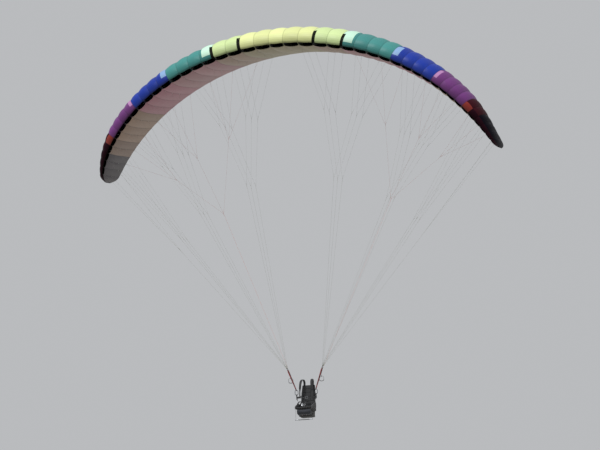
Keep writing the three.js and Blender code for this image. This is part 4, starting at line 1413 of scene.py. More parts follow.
# %% [markdown]
# ## Brake pulleys
# The brake line runs down from the tail over a small ball-bearing pulley that a tape holds to the
# rear riser. A sheave is a disc whose rim is drawn in to a groove, between two cheek plates on one
# pin. The line lies round its rear half.

# %% Brake pulleys
CHEEK_THICK, CHEEK_OUT = 0.0016, 0.0046
BRAKE_LINE = 0.0012

for side, word in SIDES:
    wheel = grooved_wheel(PULLEY_RADIUS - 0.0002, PULLEY_WIDTH - 0.0004, 0.8)
    parts = [set_material(wheel, ALLOY)]
    parts += [set_material(cheek(x, 0.015, 0.0205, CHEEK_THICK), ALLOY_DARK)
              for x in (CHEEK_OUT, -CHEEK_OUT)]
    pin = new_cylinder(0.0028, 0.0108, vertices=12)
    bevel(pin, 0.0006)
    groove = PULLEY_RADIUS * 0.84 + BRAKE_LINE
    path = [(0, groove * math.cos(math.radians(a)), groove * math.sin(math.radians(a)))
            for a in range(90, -91, -15)]
    wrap = tube("wrap", path, X_AXIS, BRAKE_LINE, 8)
    parts += [set_material(pin, STEEL), set_material(wrap, BRAKE_BRAID)]
    whole = at_place(join(parts, f"pulley{word}"), pulley_centre(side))
    ride_on(smooth_shading(whole), "wing", "alloy", f"brake_pulley{word}")
print("pulleys at", [round(v, 3) for v in pulley_centre(1)])

# %% [markdown]
# ## Brake handles
# Each brake is pulled by a loop of webbing. Its lower side is wrapped in a soft moulded grip,
# and a swivel above it keeps the line from twisting. Below the pulley the line is a piece of its
# own, which keeps its place; the real one draws cord down over the sheave as the handle is
# pulled.

# %% Brake handles and the line above them
HANDLE_DOWN, HANDLE_HALF, HANDLE_TALL, HANDLE_CORNER = 0.052, 0.05, 0.053, 0.038
HANDLE_WEB, GRIP_THICK = 0.018, 0.0125
SWIVEL = [(0.013, 0.0014), (0.0125, 0.003), (0.010, 0.0045), (0.004, 0.0048), (0.002, 0.0062),
          (-0.006, 0.0066), (-0.0085, 0.0088), (-0.013, 0.0092), (-0.015, 0.008)]
GRIP_ABOVE, LOOP_DROP, SWIVEL_DROP = 0.012, 0.06, 0.004
NEOPRENE = braid("neoprene_grip_black", "#26282c", "#17181b")


def handle_grip():
    """A padded sleeve round the lower half of the loop, thin at both ends."""
    path = rounded_rectangle(HANDLE_HALF, HANDLE_TALL, HANDLE_CORNER, 6)
    lower = sorted((p for p in path if p[2] < GRIP_ABOVE), key=lambda p: math.atan2(p[0], -p[2]))
    ends = np.minimum(np.arange(len(lower)), np.arange(len(lower))[::-1])
    thick = np.interp(ends, (0, 1, 3), (0.0045, 0.009, GRIP_THICK))
    return sweep("grip", flat_rings(lower, Y_AXIS, HANDLE_WEB, thick, round_section(14)))


def covered(*pairs):
    """Gives each piece the material beside it, and lists the pieces."""
    return [set_material(piece, material) for piece, material in pairs]


for side, word in SIDES:
    top = pulley_centre(side) - Z_AXIS * (PULLEY_RADIUS + TOUCH)
    tie = top - Z_AXIS * HANDLE_DOWN
    path = [top.lerp(tie, k / 16) for k in range(17)]
    line = tube(f"brake_line_lower{word}", path, X_AXIS, BRAKE_LINE, 8)
    smooth_shading(set_material(line, BRAKE_BRAID), 60)
    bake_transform(line)

    swivel = tube("swivel", [(0, 0, z - SWIVEL_DROP) for z, _ in SWIVEL], X_AXIS,
                  [radius for _, radius in SWIVEL], 16)
    path = np.array(rounded_rectangle(HANDLE_HALF, HANDLE_TALL, HANDLE_CORNER, 6))
    loop = ribbon("loop", path - (0, 0, LOOP_DROP), Y_AXIS, HANDLE_WEB, 0.003, closed=True)
    grip = at_place(handle_grip(), Z_AXIS * -LOOP_DROP)
    path = [(x, 0, HANDLE_TALL - LOOP_DROP - 0.0002) for x in (-0.014, -0.013, 0.013, 0.014)]
    sewn = ribbon("sewn", path, Y_AXIS, ends_at(0.016, 0.0192), ends_at(0.004, 0.0056))
    parts = covered((swivel, ALLOY_DARK), (loop, WEB_BLACK), (grip, NEOPRENE), (sewn, WEB_RED))
    whole = smooth_shading(at_place(join(parts, f"brake_toggle{word}"), tie))
    ride_on(whole, f"{word[1:]}_brake", "webbing", f"brake_handle{word}")
print("handles hang", HANDLE_DOWN, "m below their pulleys")

# %% [markdown]
# ## Carabiners
# A carabiner carries the harness at each side. It is one forged bar of aluminium alloy, bent to a
# rounded link and anodised black, with a hinged gate that a knurled sleeve locks. The bar is a tube
# carried round most of the link, thinner at its corners as forgings are, and the sleeve's knurling
# is every second face of a drum pushed in.

# %% Carabiners
LINK_HALF, LINK_TALL, LINK_CORNER, LINK_BAR = 0.034, 0.0475, 0.018, 0.006
SLEEVE_RADIUS, SLEEVE_LONG, SLEEVE_UP = 0.0078, 0.034, 0.004
CORNER_THINNER = 0.0007


def knurled_drum(radius, length):
    drum = new_cylinder(radius, length, vertices=36, turned=(0, 0, 0))
    mesh = edit_mode(drum)
    around = sorted((f for f in mesh.faces if abs(f.normal.z) < 0.5),
                    key=lambda f: math.atan2(f.normal.y, f.normal.x))
    for k, face in enumerate(around):
        face.select = k % 2 == 0
    bpy.ops.mesh.inset(thickness=0.0002, depth=-0.0004, use_individual=True)
    bpy.ops.mesh.select_all(action="DESELECT")
    mesh = bmesh.from_edit_mesh(drum.data)
    for face in mesh.faces:
        face.select = abs(face.normal.z) > 0.9 and face.calc_area() > 1e-5
    bpy.ops.mesh.inset(thickness=0.0008)
    object_mode()
    return drum


def carabiner(side):
    """The gate side is outward; the path runs from the gate's hinge round the spine to its nose."""
    path = [(side * x, y, z) for x, y, z in rounded_rectangle(LINK_HALF, LINK_TALL, LINK_CORNER, 6)]
    gate_x = side * LINK_HALF
    radii = [LINK_BAR - CORNER_THINNER * (abs(abs(z) - 0.04) < 0.006) for _, _, z in path]
    path = [(gate_x, 0, LINK_TALL - LINK_CORNER - 0.006), *path, (gate_x, 0, -0.0195)]
    body = tube("body", path, Y_AXIS, [0.0042, *radii, 0.0055], 14)
    path = [(gate_x, 0, z) for z in (-0.027, -0.024, -0.018, 0.016, 0.023, 0.0235)]
    gate = tube("gate", path, Y_AXIS, [0.0038, 0.0051, 0.0051, 0.0051, 0.0051, 0.0042], 14)
    drum = at_place(knurled_drum(SLEEVE_RADIUS, SLEEVE_LONG), (gate_x, 0, SLEEVE_UP))
    pin = new_cylinder(0.0018, 0.0136, (gate_x, 0, -0.0222), 12, (math.pi / 2, 0, 0))
    parts = covered((body, ALLOY_DARK), (gate, ALLOY), (drum, ALLOY), (pin, STEEL))
    return join(parts, f"karabiner{side_word(side)}")


for side, word in SIDES:
    whole = at_place(carabiner(side), hang(side) - Z_AXIS * LINK_TALL)
    ride_on(smooth_shading(whole), "harness", "alloy", f"carabiner{word}")

# %% [markdown]
# ## Harness cloth
# The harness is sewn from three fabrics. Its outer shell is textured nylon of thick, air-blown
# yarn, woven plain, dull and hard-wearing. The face against the back is spacer mesh: two knitted
# layers with small round holes, held apart by fine threads. Seams are bound in flat tape. The yarns
# are drawn at 3 mm and the mesh's holes at 6 mm, about four times their size, so that they show.

# %% Harness fabrics
YARN, MESH_HOLE, RUB_SCALE = 0.003, 0.006, 14.0


def sewn_fabric(name, code, shade, holes=False):
    """Patterns follow Object coordinates, since the padded pieces are simulated and lose UVs."""
    material, tree, shader = new_material(name, Roughness=0.8, Sheen_Weight=0.15,
                                          Sheen_Roughness=0.45)
    place = add_node(tree, "TexCoord", out="Object")
    if holes:
        cells = add_node(tree, "TexVoronoi", {"Scale": 1 / MESH_HOLE, "Randomness": 0.15,
                                              "Vector": place}, "Distance")
        weave = add_node(tree, "MapRange", {"Value": cells, "From Min": 0.18, "From Max": 0.42})
    else:
        yarn = {"Scale": WAVE_PERIOD / YARN, "Distortion": 0.6, "Detail": 1.0, "Vector": place}
        x, y, z = (add_node(tree, "TexWave", yarn, "Fac", bands_direction=axis) for axis in "XYZ")
        woven = {k: add_node(tree, "Math", {0: way, 1: z}, operation="MULTIPLY")
                 for k, way in enumerate((x, y))}
        weave = add_node(tree, "Math", woven, operation="MAXIMUM")
    rubbed = add_node(tree, "TexNoise", {"Scale": RUB_SCALE, "Detail": 5.0, "Roughness": 0.6,
                                         "Vector": place}, "Fac")
    worn = add_node(tree, "Math", {0: weave, 1: 0.55, 2: rubbed}, operation="MULTIPLY_ADD")
    level = add_node(tree, "MapRange", {"Value": worn, "From Min": 0.3, "From Max": 1.1})
    colour = add_node(tree, "Mix", {"A": shade, "B": code, "Factor": level},
                      "Result", data_type="RGBA")
    creases = add_node(tree, "Bump", {"Strength": 0.35, "Distance": 0.006, "Height": rubbed})
    bump = add_node(tree, "Bump", {"Strength": 0.6, "Distance": 0.0008, "Height": weave,
                                   "Normal": creases})
    plug(tree, shader, {"Base Color": colour, "Normal": bump})
    return material


SHELL_NYLON = sewn_fabric("textured_nylon_charcoal", "#18191d", "#0c0d0f")
SHELL_ACCENT = sewn_fabric("textured_nylon_slate", "#262a33", "#15181e")
SPACER_MESH = sewn_fabric("spacer_mesh_black", "#151619", "#07080a", holes=True)
BINDING = webbing("binding_tape_black", "#2a2b2f", "#17181b")
THREAD = braid("sewing_thread_grey", "#8b8d90", "#5f6165")
RED_NYLON = webbing("polyester_webbing_signal_red", "#c5231d", "#86120f")

# %% [markdown]
# ## The harness's own directions
# The seat board tilts up by ten degrees towards its front and the back leans by twenty, so it is
# easier to say where a piece is along the seat or along the back. Two small functions turn those
# distances into places.

# %% Places along the seat and along the back
SEAT_TILT, BACK_LEAN = math.radians(10), math.radians(20)
SEAT_REAR, BACK_FOOT = (0.077, -8.155), (0.089, -8.128)


def on_seat(x, forward, down):
    return Vector((x, SEAT_REAR[0] - forward * math.cos(SEAT_TILT) - down * math.sin(SEAT_TILT),
                   SEAT_REAR[1] + forward * math.sin(SEAT_TILT) - down * math.cos(SEAT_TILT)))


def on_back(x, upward, behind):
    return Vector((x, BACK_FOOT[0] + upward * math.sin(BACK_LEAN) + behind * math.cos(BACK_LEAN),
                   BACK_FOOT[1] + upward * math.cos(BACK_LEAN) - behind * math.sin(BACK_LEAN)))


SEAT_AHEAD = (on_seat(0, 1, 0) - on_seat(0, 0, 0)).normalized()
SEAT_UP = X_AXIS.cross(SEAT_AHEAD) * -1
BACK_UP = (on_back(0, 1, 0) - on_back(0, 0, 0)).normalized()
BACK_BEHIND = (on_back(0, 0, 1) - on_back(0, 0, 0)).normalized()
print("seat up", [round(v, 2) for v in SEAT_UP], "back up", [round(v, 2) for v in BACK_UP])

# %% [markdown]
# ## Padded pieces
# Foam cushions and the protector are stuffed covers. Each starts as a block of its side outline,
# a little small, and is remeshed into even squares. A cloth simulation with air pressure inside
# then rounds it and pulls its corners in, which sculpting by hand rarely gets right. Afterwards
# each point is held within a few millimetres of its start, so that the piece stays in its place,
# and the seams are pressed in last, because remeshing would lose them.

# %% Blocks and stuffing
STUFFING_FRAMES, STUFFING_PRESSURE = 20, 4.0


def side_block(name, outline, half_width):
    """A block from x = -half_width to half_width, whose side view is the outline."""
    piece = added(bpy.ops.mesh.primitive_circle_add, vertices=len(outline), radius=1,
                  fill_type="NGON")
    piece.name = piece.data.name = name
    for v, place in zip(piece.data.vertices, outline):
        v.co = (-half_width, place[1], place[2])
    edit_mode(piece, action="SELECT")
    bpy.ops.mesh.extrude_region_move(TRANSFORM_OT_translate={"value": (2 * half_width, 0, 0)})
    close_mesh()
    return piece


def stuff(piece, voxel, cap):
    """Turns a block into a stuffed cover that swells by up to cap metres."""
    apply_modifier(piece, "REMESH", mode="VOXEL", voxel_size=voxel)
    apply_modifier(piece, "SMOOTH", factor=0.5, iterations=2)
    start = points_of(piece)
    cloth = piece.modifiers.new("cloth", "CLOTH")
    cloth.settings.quality = 4
    cloth.settings.mass = 0.3
    cloth.settings.tension_stiffness = cloth.settings.compression_stiffness = 15
    cloth.settings.use_pressure = True
    cloth.settings.uniform_pressure_force = STUFFING_PRESSURE
    cloth.settings.effector_weights.gravity = 0
    cloth.point_cache.frame_start, cloth.point_cache.frame_end = 1, STUFFING_FRAMES
    for frame_number in range(1, STUFFING_FRAMES + 1):
        bpy.context.scene.frame_set(frame_number)
    bpy.context.view_layer.objects.active = piece
    bpy.ops.object.modifier_apply(modifier="cloth")
    bpy.context.scene.frame_set(1)
    moved = points_of(piece) - start
    far = np.linalg.norm(moved, axis=1, keepdims=True)
    held = start + moved * np.minimum(1, cap / np.maximum(far, 1e-9))
    return move_points(piece, held)


def fill_box(points, low, high):
    """Stretches the points a little, so that they fill a box again after the stuffing."""
    lowest, highest = points.min(axis=0), points.max(axis=0)
    return np.array(low) + (points - lowest) * (np.array(high) - np.array(low)) / (highest - lowest)


def finish_cushion(piece, box, planes=(), seams=(), hold=None):
    """One subdivision, sewn grooves, and flat where the piece rests on a plane."""
    apply_modifier(piece, "SUBSURF", levels=1, render_levels=1)
    points = fill_box(points_of(piece), *box)
    normals = np.zeros(points.size)
    piece.data.vertices.foreach_get("normal", normals)
    normals = normals.reshape(-1, 3)
    for distance, depth, width, facing in seams:
        groove = np.exp(-(distance(points) / width) ** 2)
        if facing is not None:
            groove = groove * np.clip(normals @ np.array(facing) * 2, 0, 1)
        points = points - normals * (depth * groove)[:, None]
    if hold:
        points = hold(points)
    for place, outward in planes:
        beyond = np.maximum(0, (points - np.array(place)) @ np.array(outward))
        points = points - beyond[:, None] * np.array(outward)
    return smooth_shading(move_points(piece, points), 70)

# %% [markdown]
# A seam is where two panels meet and the stuffing can't push: a straight groove. On the real piece
# the groove often holds piping, a cord covered in tape. Piping follows the stuffed surface, so its
# path is laid on the surface point by point.

# %% Grooves and piping
def line_groove(through, across, depth, width, facing=None):
    """A groove where the plane through a point, square to across, meets the surface.

    With facing, only the side that faces that way is pressed."""
    through, across = np.array(through), np.array(Vector(across).normalized())
    return (lambda points: (points - through) @ across), depth, width, facing


def on_surface(piece, points, lift=0.0, evened=0):
    """The nearest places on a piece's surface, raised by lift and then evened out."""
    placed = []
    for point in points:
        _, place, normal, _ = piece.closest_point_on_mesh(Vector(point))
        placed.append(place + normal * lift)
    placed = np.array(placed)
    for _ in range(evened):
        placed[1:-1] = (placed[:-2] + 2 * placed[1:-1] + placed[2:]) / 4
    return placed


def piping(piece, path, steps, radius=0.003):
    points = on_surface(piece, smooth_path(path, steps), radius * 0.4, 3)
    cord = tube("piping", points, X_AXIS + Y_AXIS * 0.01, radius, 8)
    return smooth_shading(set_material(cord, BINDING), 60)


ROUND_SECTION = [(math.copysign(abs(x) ** 0.6, x), math.copysign(abs(y) ** 0.8, y))
                 for x, y in round_section(16)]
TACK_LENGTH = 0.018


def bar_tack(piece, place, along, outward):
    """A row of dense stitches that holds a strap or an edge, lying on the surface."""
    middle = Vector(on_surface(piece, [place])[0]) + outward * 0.0003
    ends = [middle + along * TACK_LENGTH * k for k in (-0.5, -0.45, 0.45, 0.5)]
    tack = tube("tack", ends, along.cross(outward), [0.0006, 0.0012, 0.0012, 0.0006], 6)
    return set_material(tack, THREAD)


def ride_harness(piece, *nodes, slot="harness_cloth", fill=None):
    ride_on(piece, "harness", slot, *nodes, fill=fill)

# %% [markdown]
# ## Seat shell
# The seat is a tub: two padded side walls, high at the hips and low at the knees, joined by a pan
# under the board. Its section is a U all the way, so U-shaped rings are carried from the rear to
# the front, then stuffed lightly. A binding tape covers each wall's cut edge.

# %% Seat shell
SHELL_HALF, SHELL_WALL, PAN_TOP, PAN_BOTTOM = 0.196, 0.015, 0.017, 0.031
WALL_EDGE = [(0.0, -0.150), (0.06, -0.150), (0.17, -0.110), (0.28, -0.070), (0.345, -0.030),
             (0.352, 0.0)]


def wall_top(forward):
    return float(np.interp(forward, *zip(*WALL_EDGE)))


def tub_ring(forward, margin=0.0025):
    """The U-shaped section at one place along the seat, a little thin for its stuffing."""
    top, under = wall_top(forward) + margin, PAN_BOTTOM - margin
    half, inner = SHELL_HALF - margin, SHELL_HALF - SHELL_WALL + margin
    right = [(half, under), (half, top), (inner, top), (inner, PAN_TOP + margin)]
    corners = [*((-x, down) for x, down in right), *right[::-1]]
    return [tuple(on_seat(x, forward, down)) for x, down in corners]


stations = [0.004, 0.03, 0.06, 0.1, 0.14, 0.17, 0.21, 0.25, 0.28, 0.3, 0.33, 0.345, 0.350]
tub = sweep("seat_tub", [tub_ring(s) for s in stations])
stuff(tub, 0.005, 0.006)
grooves = [line_groove(on_seat(0, s, 0), SEAT_AHEAD, 0.003, 0.003) for s in (0.118, 0.245)]
finish_cushion(tub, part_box("seat_shell"), [(on_seat(0, 0, PAN_BOTTOM), -SEAT_UP)], grooves)
set_material(tub, SHELL_NYLON)
edges = []
for side in (1, -1):
    middle = side * (SHELL_HALF - SHELL_WALL / 2)
    path = [(0.0, 0.024), (0.0, -0.06), *WALL_EDGE[:4], (0.34, -0.035), (0.354, 0.0), (0.356, 0.024)]
    path = smooth_path([on_seat(middle, s, o) for s, o in path], 90)
    path = on_surface(tub, path, 0.0006, 6)
    tape = sweep("edge", flat_rings(path, X_AXIS, 0.0175, 0.0065, ROUND_SECTION))
    edges.append(smooth_shading(set_material(tape, BINDING), 60))
    for s, o in ((0.03, -0.118), (0.11, -0.10), (0.19, -0.072), (0.27, -0.042)):
        edges.append(bar_tack(tub, on_seat(side * 0.2, s, o), SEAT_AHEAD, X_AXIS * side))
ride_harness(join([tub, *edges], "seat_tub"), "seat_shell", fill=0.6)

# %% [markdown]
# ## Seat board and cushion
# A plywood board keeps the tub square and spreads the load. It is the CAD solid itself, finished
# as birch ply: pale rotary-cut faces, and five layers that show at its edges. A sleeve of shell
# cloth, a bevelled box without its rear face, covers its front edge. A thin foam cushion lies on
# it, sewn across in three channels.

# %% Board and cushion
PLY = 0.0024
PAD_HALF, PAD_FROM, PAD_TO, PAD_UNDER, PAD_OVER = 0.166, 0.004, 0.356, -0.0005, -0.013


def birch_plywood():
    material, tree, shader = new_material("birch_plywood_varnished", Roughness=0.42, Coat_Weight=0.3)
    place = add_node(tree, "TexCoord", out="Object")
    level = add_node(tree, "Mapping", {"Rotation": (SEAT_TILT, 0, 0), "Vector": place})
    drawn_out = add_node(tree, "Mapping", {"Scale": (1, 0.12, 3), "Vector": level})
    grain = add_node(tree, "TexNoise", {"Scale": 30.0, "Detail": 6.0, "Distortion": 1.5,
                                        "Vector": drawn_out}, "Fac")
    plies = add_node(tree, "TexWave", {"Scale": WAVE_PERIOD / (2 * PLY), "Vector": level}, "Fac",
                     bands_direction="Z")
    layers = add_node(tree, "MapRange", {"Value": plies, "From Min": 0.45, "From Max": 0.55,
                                         "To Max": 0.6})
    wood = add_node(tree, "Mix", {"A": "#a9845a", "B": "#cdb085", "Factor": grain},
                    "Result", data_type="RGBA")
    colour = add_node(tree, "Mix", {"A": wood, "B": "#7a5734", "Factor": layers},
                      "Result", data_type="RGBA")
    bump = add_node(tree, "Bump", {"Strength": 0.2, "Distance": 0.0004, "Height": grain})
    plug(tree, shader, {"Base Color": colour, "Normal": bump})
    return material


PLYWOOD = birch_plywood()
board = frame["nodes"]["seat_board"]
for slot in board.material_slots:
    slot.material = PLYWOOD
corners = ((0.008, -0.002), (0.352, -0.002), (0.352, -0.010), (0.008, -0.010))
pad = side_block("seat_cushion", [on_seat(0, s, o) for s, o in corners], 0.161)
stuff(pad, 0.004, 0.005)
low = np.min([on_seat(-PAD_HALF, s, PAD_UNDER) for s in (PAD_FROM, PAD_TO)], 0)
high = np.max([on_seat(PAD_HALF, s, PAD_OVER) for s in (PAD_FROM, PAD_TO)], 0)
grooves = [line_groove(on_seat(0, s, 0), SEAT_AHEAD, 0.004, 0.004, SEAT_UP)
           for s in (0.1, 0.19, 0.28)]
finish_cushion(pad, (low, high), [(on_seat(0, 0, PAD_UNDER), -SEAT_UP)], grooves)
ride_harness(set_material(pad, SPACER_MESH), fill=0.5)

# %% Board sleeve
SLEEVE_HALF, SLEEVE_AT, SLEEVE_DEEP = 0.1722, 0.3628, 0.0057
SLEEVE_MIDDLE, SLEEVE_TALL, SLEEVE_CLOTH = 0.006, 0.0082, 0.0014

sleeve = added(bpy.ops.mesh.primitive_cube_add, size=2)
sleeve.name = "board_sleeve"
mesh = edit_mode(sleeve)
for v in mesh.verts:
    x, y, z = v.co
    v.co = on_seat(x * SLEEVE_HALF, SLEEVE_AT + y * SLEEVE_DEEP, SLEEVE_MIDDLE + z * SLEEVE_TALL)
min(mesh.faces, key=lambda face: face.calc_center_median().dot(SEAT_AHEAD)).select = True
bpy.ops.mesh.delete(type="ONLY_FACE")
object_mode()
bevel(sleeve, 0.002, 3)
apply_modifier(sleeve, "SOLIDIFY", thickness=SLEEVE_CLOTH, offset=-1)
ride_harness(set_material(smooth_shading(sleeve, 50), SHELL_NYLON))

# %% [markdown]
# ## Back
# The back is a foam panel faced with spacer mesh and sewn in ribs, so that air passes through
# it. It narrows towards the shoulders. Its rear face lies flat against the protector.

# %% Back panel
BACK_HALF, BACK_LONG, BACK_THICK = 0.160, 0.579, 0.030
TAPER_FROM, TAPER = 0.40, 0.13

corners = ((0.006, 0.006), (BACK_LONG - 0.006, 0.006), (BACK_LONG - 0.006, BACK_THICK - 0.004),
           (0.006, BACK_THICK - 0.004))
rest = side_block("back_rest", [on_back(0, u, b) for u, b in corners], BACK_HALF - 0.006)
stuff(rest, 0.006, 0.010)
points = points_of(rest)
upward = (points - np.array(on_back(0, 0, 0))) @ np.array(BACK_UP)
points[:, 0] *= 1 - TAPER * np.clip((upward - TAPER_FROM) / (BACK_LONG - TAPER_FROM), 0, 1)
move_points(rest, points)
grooves = [line_groove(on_back(0, u, 0), BACK_UP, 0.007, 0.005, -BACK_BEHIND)
           for u in (0.10, 0.20, 0.30, 0.40, 0.49)]
grooves += [line_groove(on_back(x, 0, 0), X_AXIS, 0.007, 0.005, -BACK_BEHIND)
            for x in (-0.055, 0.055)]
flat = [(on_back(0, 0, BACK_THICK), BACK_BEHIND)]
finish_cushion(rest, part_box("back_panel"), flat, grooves)
set_material(rest, SPACER_MESH)
EDGE_AT = BACK_THICK * 0.55
rim = []
for x in (1, -1):
    halves = ((BACK_HALF, 0.01), (BACK_HALF, 0.4), (BACK_HALF * (1 - TAPER), 0.57))
    rim.append(piping(rest, [on_back(x * (w - 0.001), u, EDGE_AT) for w, u in halves], 40))
path = [on_back(x, BACK_LONG, EDGE_AT) for x in (-0.136, -0.07, 0, 0.07, 0.136)]
rim.append(piping(rest, path, 30))
ride_harness(join([rest, *rim], "back_rest"), "back_panel", fill=0.6)

# %% [markdown]
# ## Protector
# Behind the back and under the seat lies the protector, a foam block or an air bag in a nylon
# cover that breaks a hard landing. Piping marks the edges between its side panels and the long
# rear panel, and two seams run up that panel.

# %% Protector
BAG_HALF = 0.165
BAG_OUTLINE = [("seat", 0.200, 0.034), ("seat", 0.012, 0.034), ("back", 0.0, 0.034),
               ("back", 0.424, 0.034), ("back", 0.432, 0.068), ("back", 0.298, 0.101),
               ("back", 0.062, 0.113), ("back", -0.055, 0.096), ("seat", -0.060, 0.146),
               ("seat", 0.146, 0.147), ("seat", 0.198, 0.116)]
PLACES = {"seat": on_seat, "back": on_back}
bag_side = [PLACES[part](0, a, b) for part, a, b in BAG_OUTLINE]
bag = side_block("protector_bag", bag_side, BAG_HALF - 0.010)
stuff(bag, 0.008, 0.014)


def clear_of_seat(points):
    """Moves what has swelled into the corner between seat and back out by the nearer side."""
    over = (points - np.array(on_seat(0, 0, 0.0313))) @ np.array(SEAT_UP)
    ahead = (points - np.array(on_back(0, 0, 0.0303))) @ -np.array(BACK_BEHIND)
    inside = (over > 0) & (ahead > 0)
    down = np.where(inside & (over <= ahead), over, 0)
    behind = np.where(inside & (over > ahead), ahead, 0)
    return points - down[:, None] * np.array(SEAT_UP) + behind[:, None] * np.array(BACK_BEHIND)


finish_cushion(bag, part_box("back_protector"), hold=clear_of_seat,
               seams=[line_groove((x, 0, 0), X_AXIS, 0.006, 0.006) for x in (-0.06, 0.06)])
set_material(bag, SHELL_NYLON)
seams = [piping(bag, [p + X_AXIS * x for p in bag_side[4:]], 70) for x in (-BAG_HALF, BAG_HALF)]
ride_harness(join([bag, *seams], "protector_bag"), "back_protector", fill=0.8)

# %% [markdown]
# ## Reserve container
# The reserve parachute is packed in a pouch under the knees. Its flaps close over each other and
# are pinned by two loops of cord. The red handle on the right wall is the only bright piece of the
# harness, so that the hand finds it.

# %% Reserve container
POUCH_HALF = 0.158
POUCH_OUTLINE = [(0.213, 0.036), (0.213, 0.142), (0.316, 0.133), (0.349, 0.080), (0.340, 0.036)]

pouch = side_block("reserve_pouch", [on_seat(0, s, o) for s, o in POUCH_OUTLINE],
                   POUCH_HALF - 0.007)
stuff(pouch, 0.006, 0.009)
flat = [(on_seat(0, 0, 0.0313), SEAT_UP), (on_seat(0, 0.2083, 0), -SEAT_AHEAD)]
cuts = ((on_seat(0, 0.262, 0), SEAT_AHEAD), ((-0.09, 0, 0), X_AXIS), ((0.09, 0, 0), X_AXIS))
grooves = [line_groove(through, across, 0.004, 0.004) for through, across in cuts]
finish_cushion(pouch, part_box("reserve_container"), flat, grooves)
set_material(pouch, SHELL_ACCENT)
parts = [piping(pouch, [on_seat(x, s, o) for s, o in POUCH_OUTLINE[1:]], 40, 0.0026)
         for x in (-POUCH_HALF, POUCH_HALF)]
for x in (-0.045, 0.045):
    place = on_surface(pouch, [on_seat(x, 0.285, 0.16)], 0.0004)[0]
    ring = [(0.0052 * a, 0.0052 * b, 0) for a, b in round_section(16)]
    eyelet = tube("eyelet", ring, Z_AXIS, 0.0016, 8, True)
    path = [(-0.002, 0, 0.003), (-0.003, 0, -0.004), (0, 0, -0.007), (0.003, 0, -0.004),
            (0.002, 0, 0.003)]
    loop = tube("loop", smooth_path(path, 14), Y_AXIS, 0.0011, 8)
    pin = new_cylinder(0.0011, 0.034, (0.004, 0, -0.0035), 10)
    parts += [at_place(part, place, SEAT_UP)
              for part in covered((eyelet, STEEL), (loop, RED_NYLON), (pin, STEEL))]
ride_harness(join([pouch, *parts], "reserve_pouch"), "reserve_container", fill=0.7)

# %% Reserve handle
HANDLE_AT = on_seat(-0.2013, 0.190, -0.020)
path = [(0, x, z) for x, _, z in rounded_rectangle(0.052, 0.020, 0.014, 5)]
pull = sweep("pull", flat_rings(path, X_AXIS, 0.010, 0.0085, round_section(12), True), True)
path = [(0.0046, y, 0) for y in (-0.058, -0.056, 0.056, 0.058)]
patch = ribbon("patch", path, Z_AXIS, ends_at(0.026, 0.03), 0.0012)
path = [(0.0015, -0.052, 0), (0.001, -0.062, 0), (0.003, -0.075, -0.004), (0.0035, -0.09, -0.012)]
tongue = ribbon("tongue", smooth_path(path, 10), Z_AXIS, 0.02, 0.002)
pull = set_material(join([pull, patch, tongue], "reserve_pull"), RED_NYLON)
smooth_shading(at_place(pull, HANDLE_AT, SEAT_UP, X_AXIS))
ride_harness(pull, "reserve_handle", slot="reserve_red")

# %% [markdown]
# ## Harness webbing
# The load runs in one strap from carabiner to carabiner, under the board. Shoulder and leg straps
# are foam-padded where they cross the body and bare webbing at their ends. All are swept along
# their paths, with a width that may turn and swell as the strap does, because simulation would
# erase anything so thin.

# %% Main webbing
HARNESS_WEB, WEB_AT, CHEST_DOWN = 0.025, 0.110, 0.165
WEB_OUT = 0.1768
WEB_UNDER = 0.0138


def half_webbing(side):
    """Places from the carabiner down to under the board, and where the strap's width points."""
    foot = hang(side) - Z_AXIS * (2 * LINK_TALL)
    drop = [foot - Z_AXIS * d for d in (0.0085, 0.05, 0.092)]
    drop += [on_seat(side * x, WEB_AT, o) for x, o in ((WEB_OUT + 0.0176, -0.215), (WEB_OUT, -0.15))]
    places = list(smooth_path(drop, 30))
    down = len(places)
    under = ((WEB_OUT, -0.07), (WEB_OUT, WEB_UNDER - 0.006), (WEB_OUT - 0.0005, WEB_UNDER - 0.0025),
             (WEB_OUT - 0.003, WEB_UNDER), (0.08, WEB_UNDER))
    places += [on_seat(side * x, WEB_AT, o) for x, o in under]
    turn = eased((np.arange(len(places)) / down - 0.35) / 0.6)
    across = np.array(X_AXIS * side) * (1 - turn) - np.array(SEAT_AHEAD) * turn
    return [tuple(p) for p in places], across


def eased(share):
    """From 0 to 1, gently at both ends, one row for each share."""
    share = np.clip(share, 0, 1)
    return (share * share * (3 - 2 * share))[:, None]


left, right = half_webbing(1), half_webbing(-1)
parts = [ribbon("belt", left[0] + right[0][::-1], np.vstack([left[1], right[1][::-1]]),
                HARNESS_WEB, 0.003)]
for side in (1, -1):
    foot = hang(side) - Z_AXIS * (2 * LINK_TALL)
    parts.append(eye_ring("ring", foot, X_AXIS, BAR_RADIUS + LOOP_PLAY, WEB_THICK, HARNESS_WEB, 20))
    path = [foot - Z_AXIS * d for d in (0.0115, 0.014, 0.05, 0.0525)]
    parts.append(ribbon("tack", path, X_AXIS, ends_at(0.022, 0.0262), ends_at(0.003, 0.0062)))
belt = smooth_shading(set_material(join(parts, "main_belt"), WEB_BLACK))
ride_harness(belt, "hang_webbing", slot="webbing")

# %% [markdown]
# ## Hip panels and side straps
# Cloth panels close the corner between each wall and the back, and a strap at each side ties the
# back to the main webbing, which sets how far it reclines. A panel is a small grid of four corners
# with a slack middle, given the thickness of lined cloth.

# %% Hip panels and side straps
PANEL_SLACK, PANEL_DIP, PANEL_THICK = 0.016, 0.03, 0.005


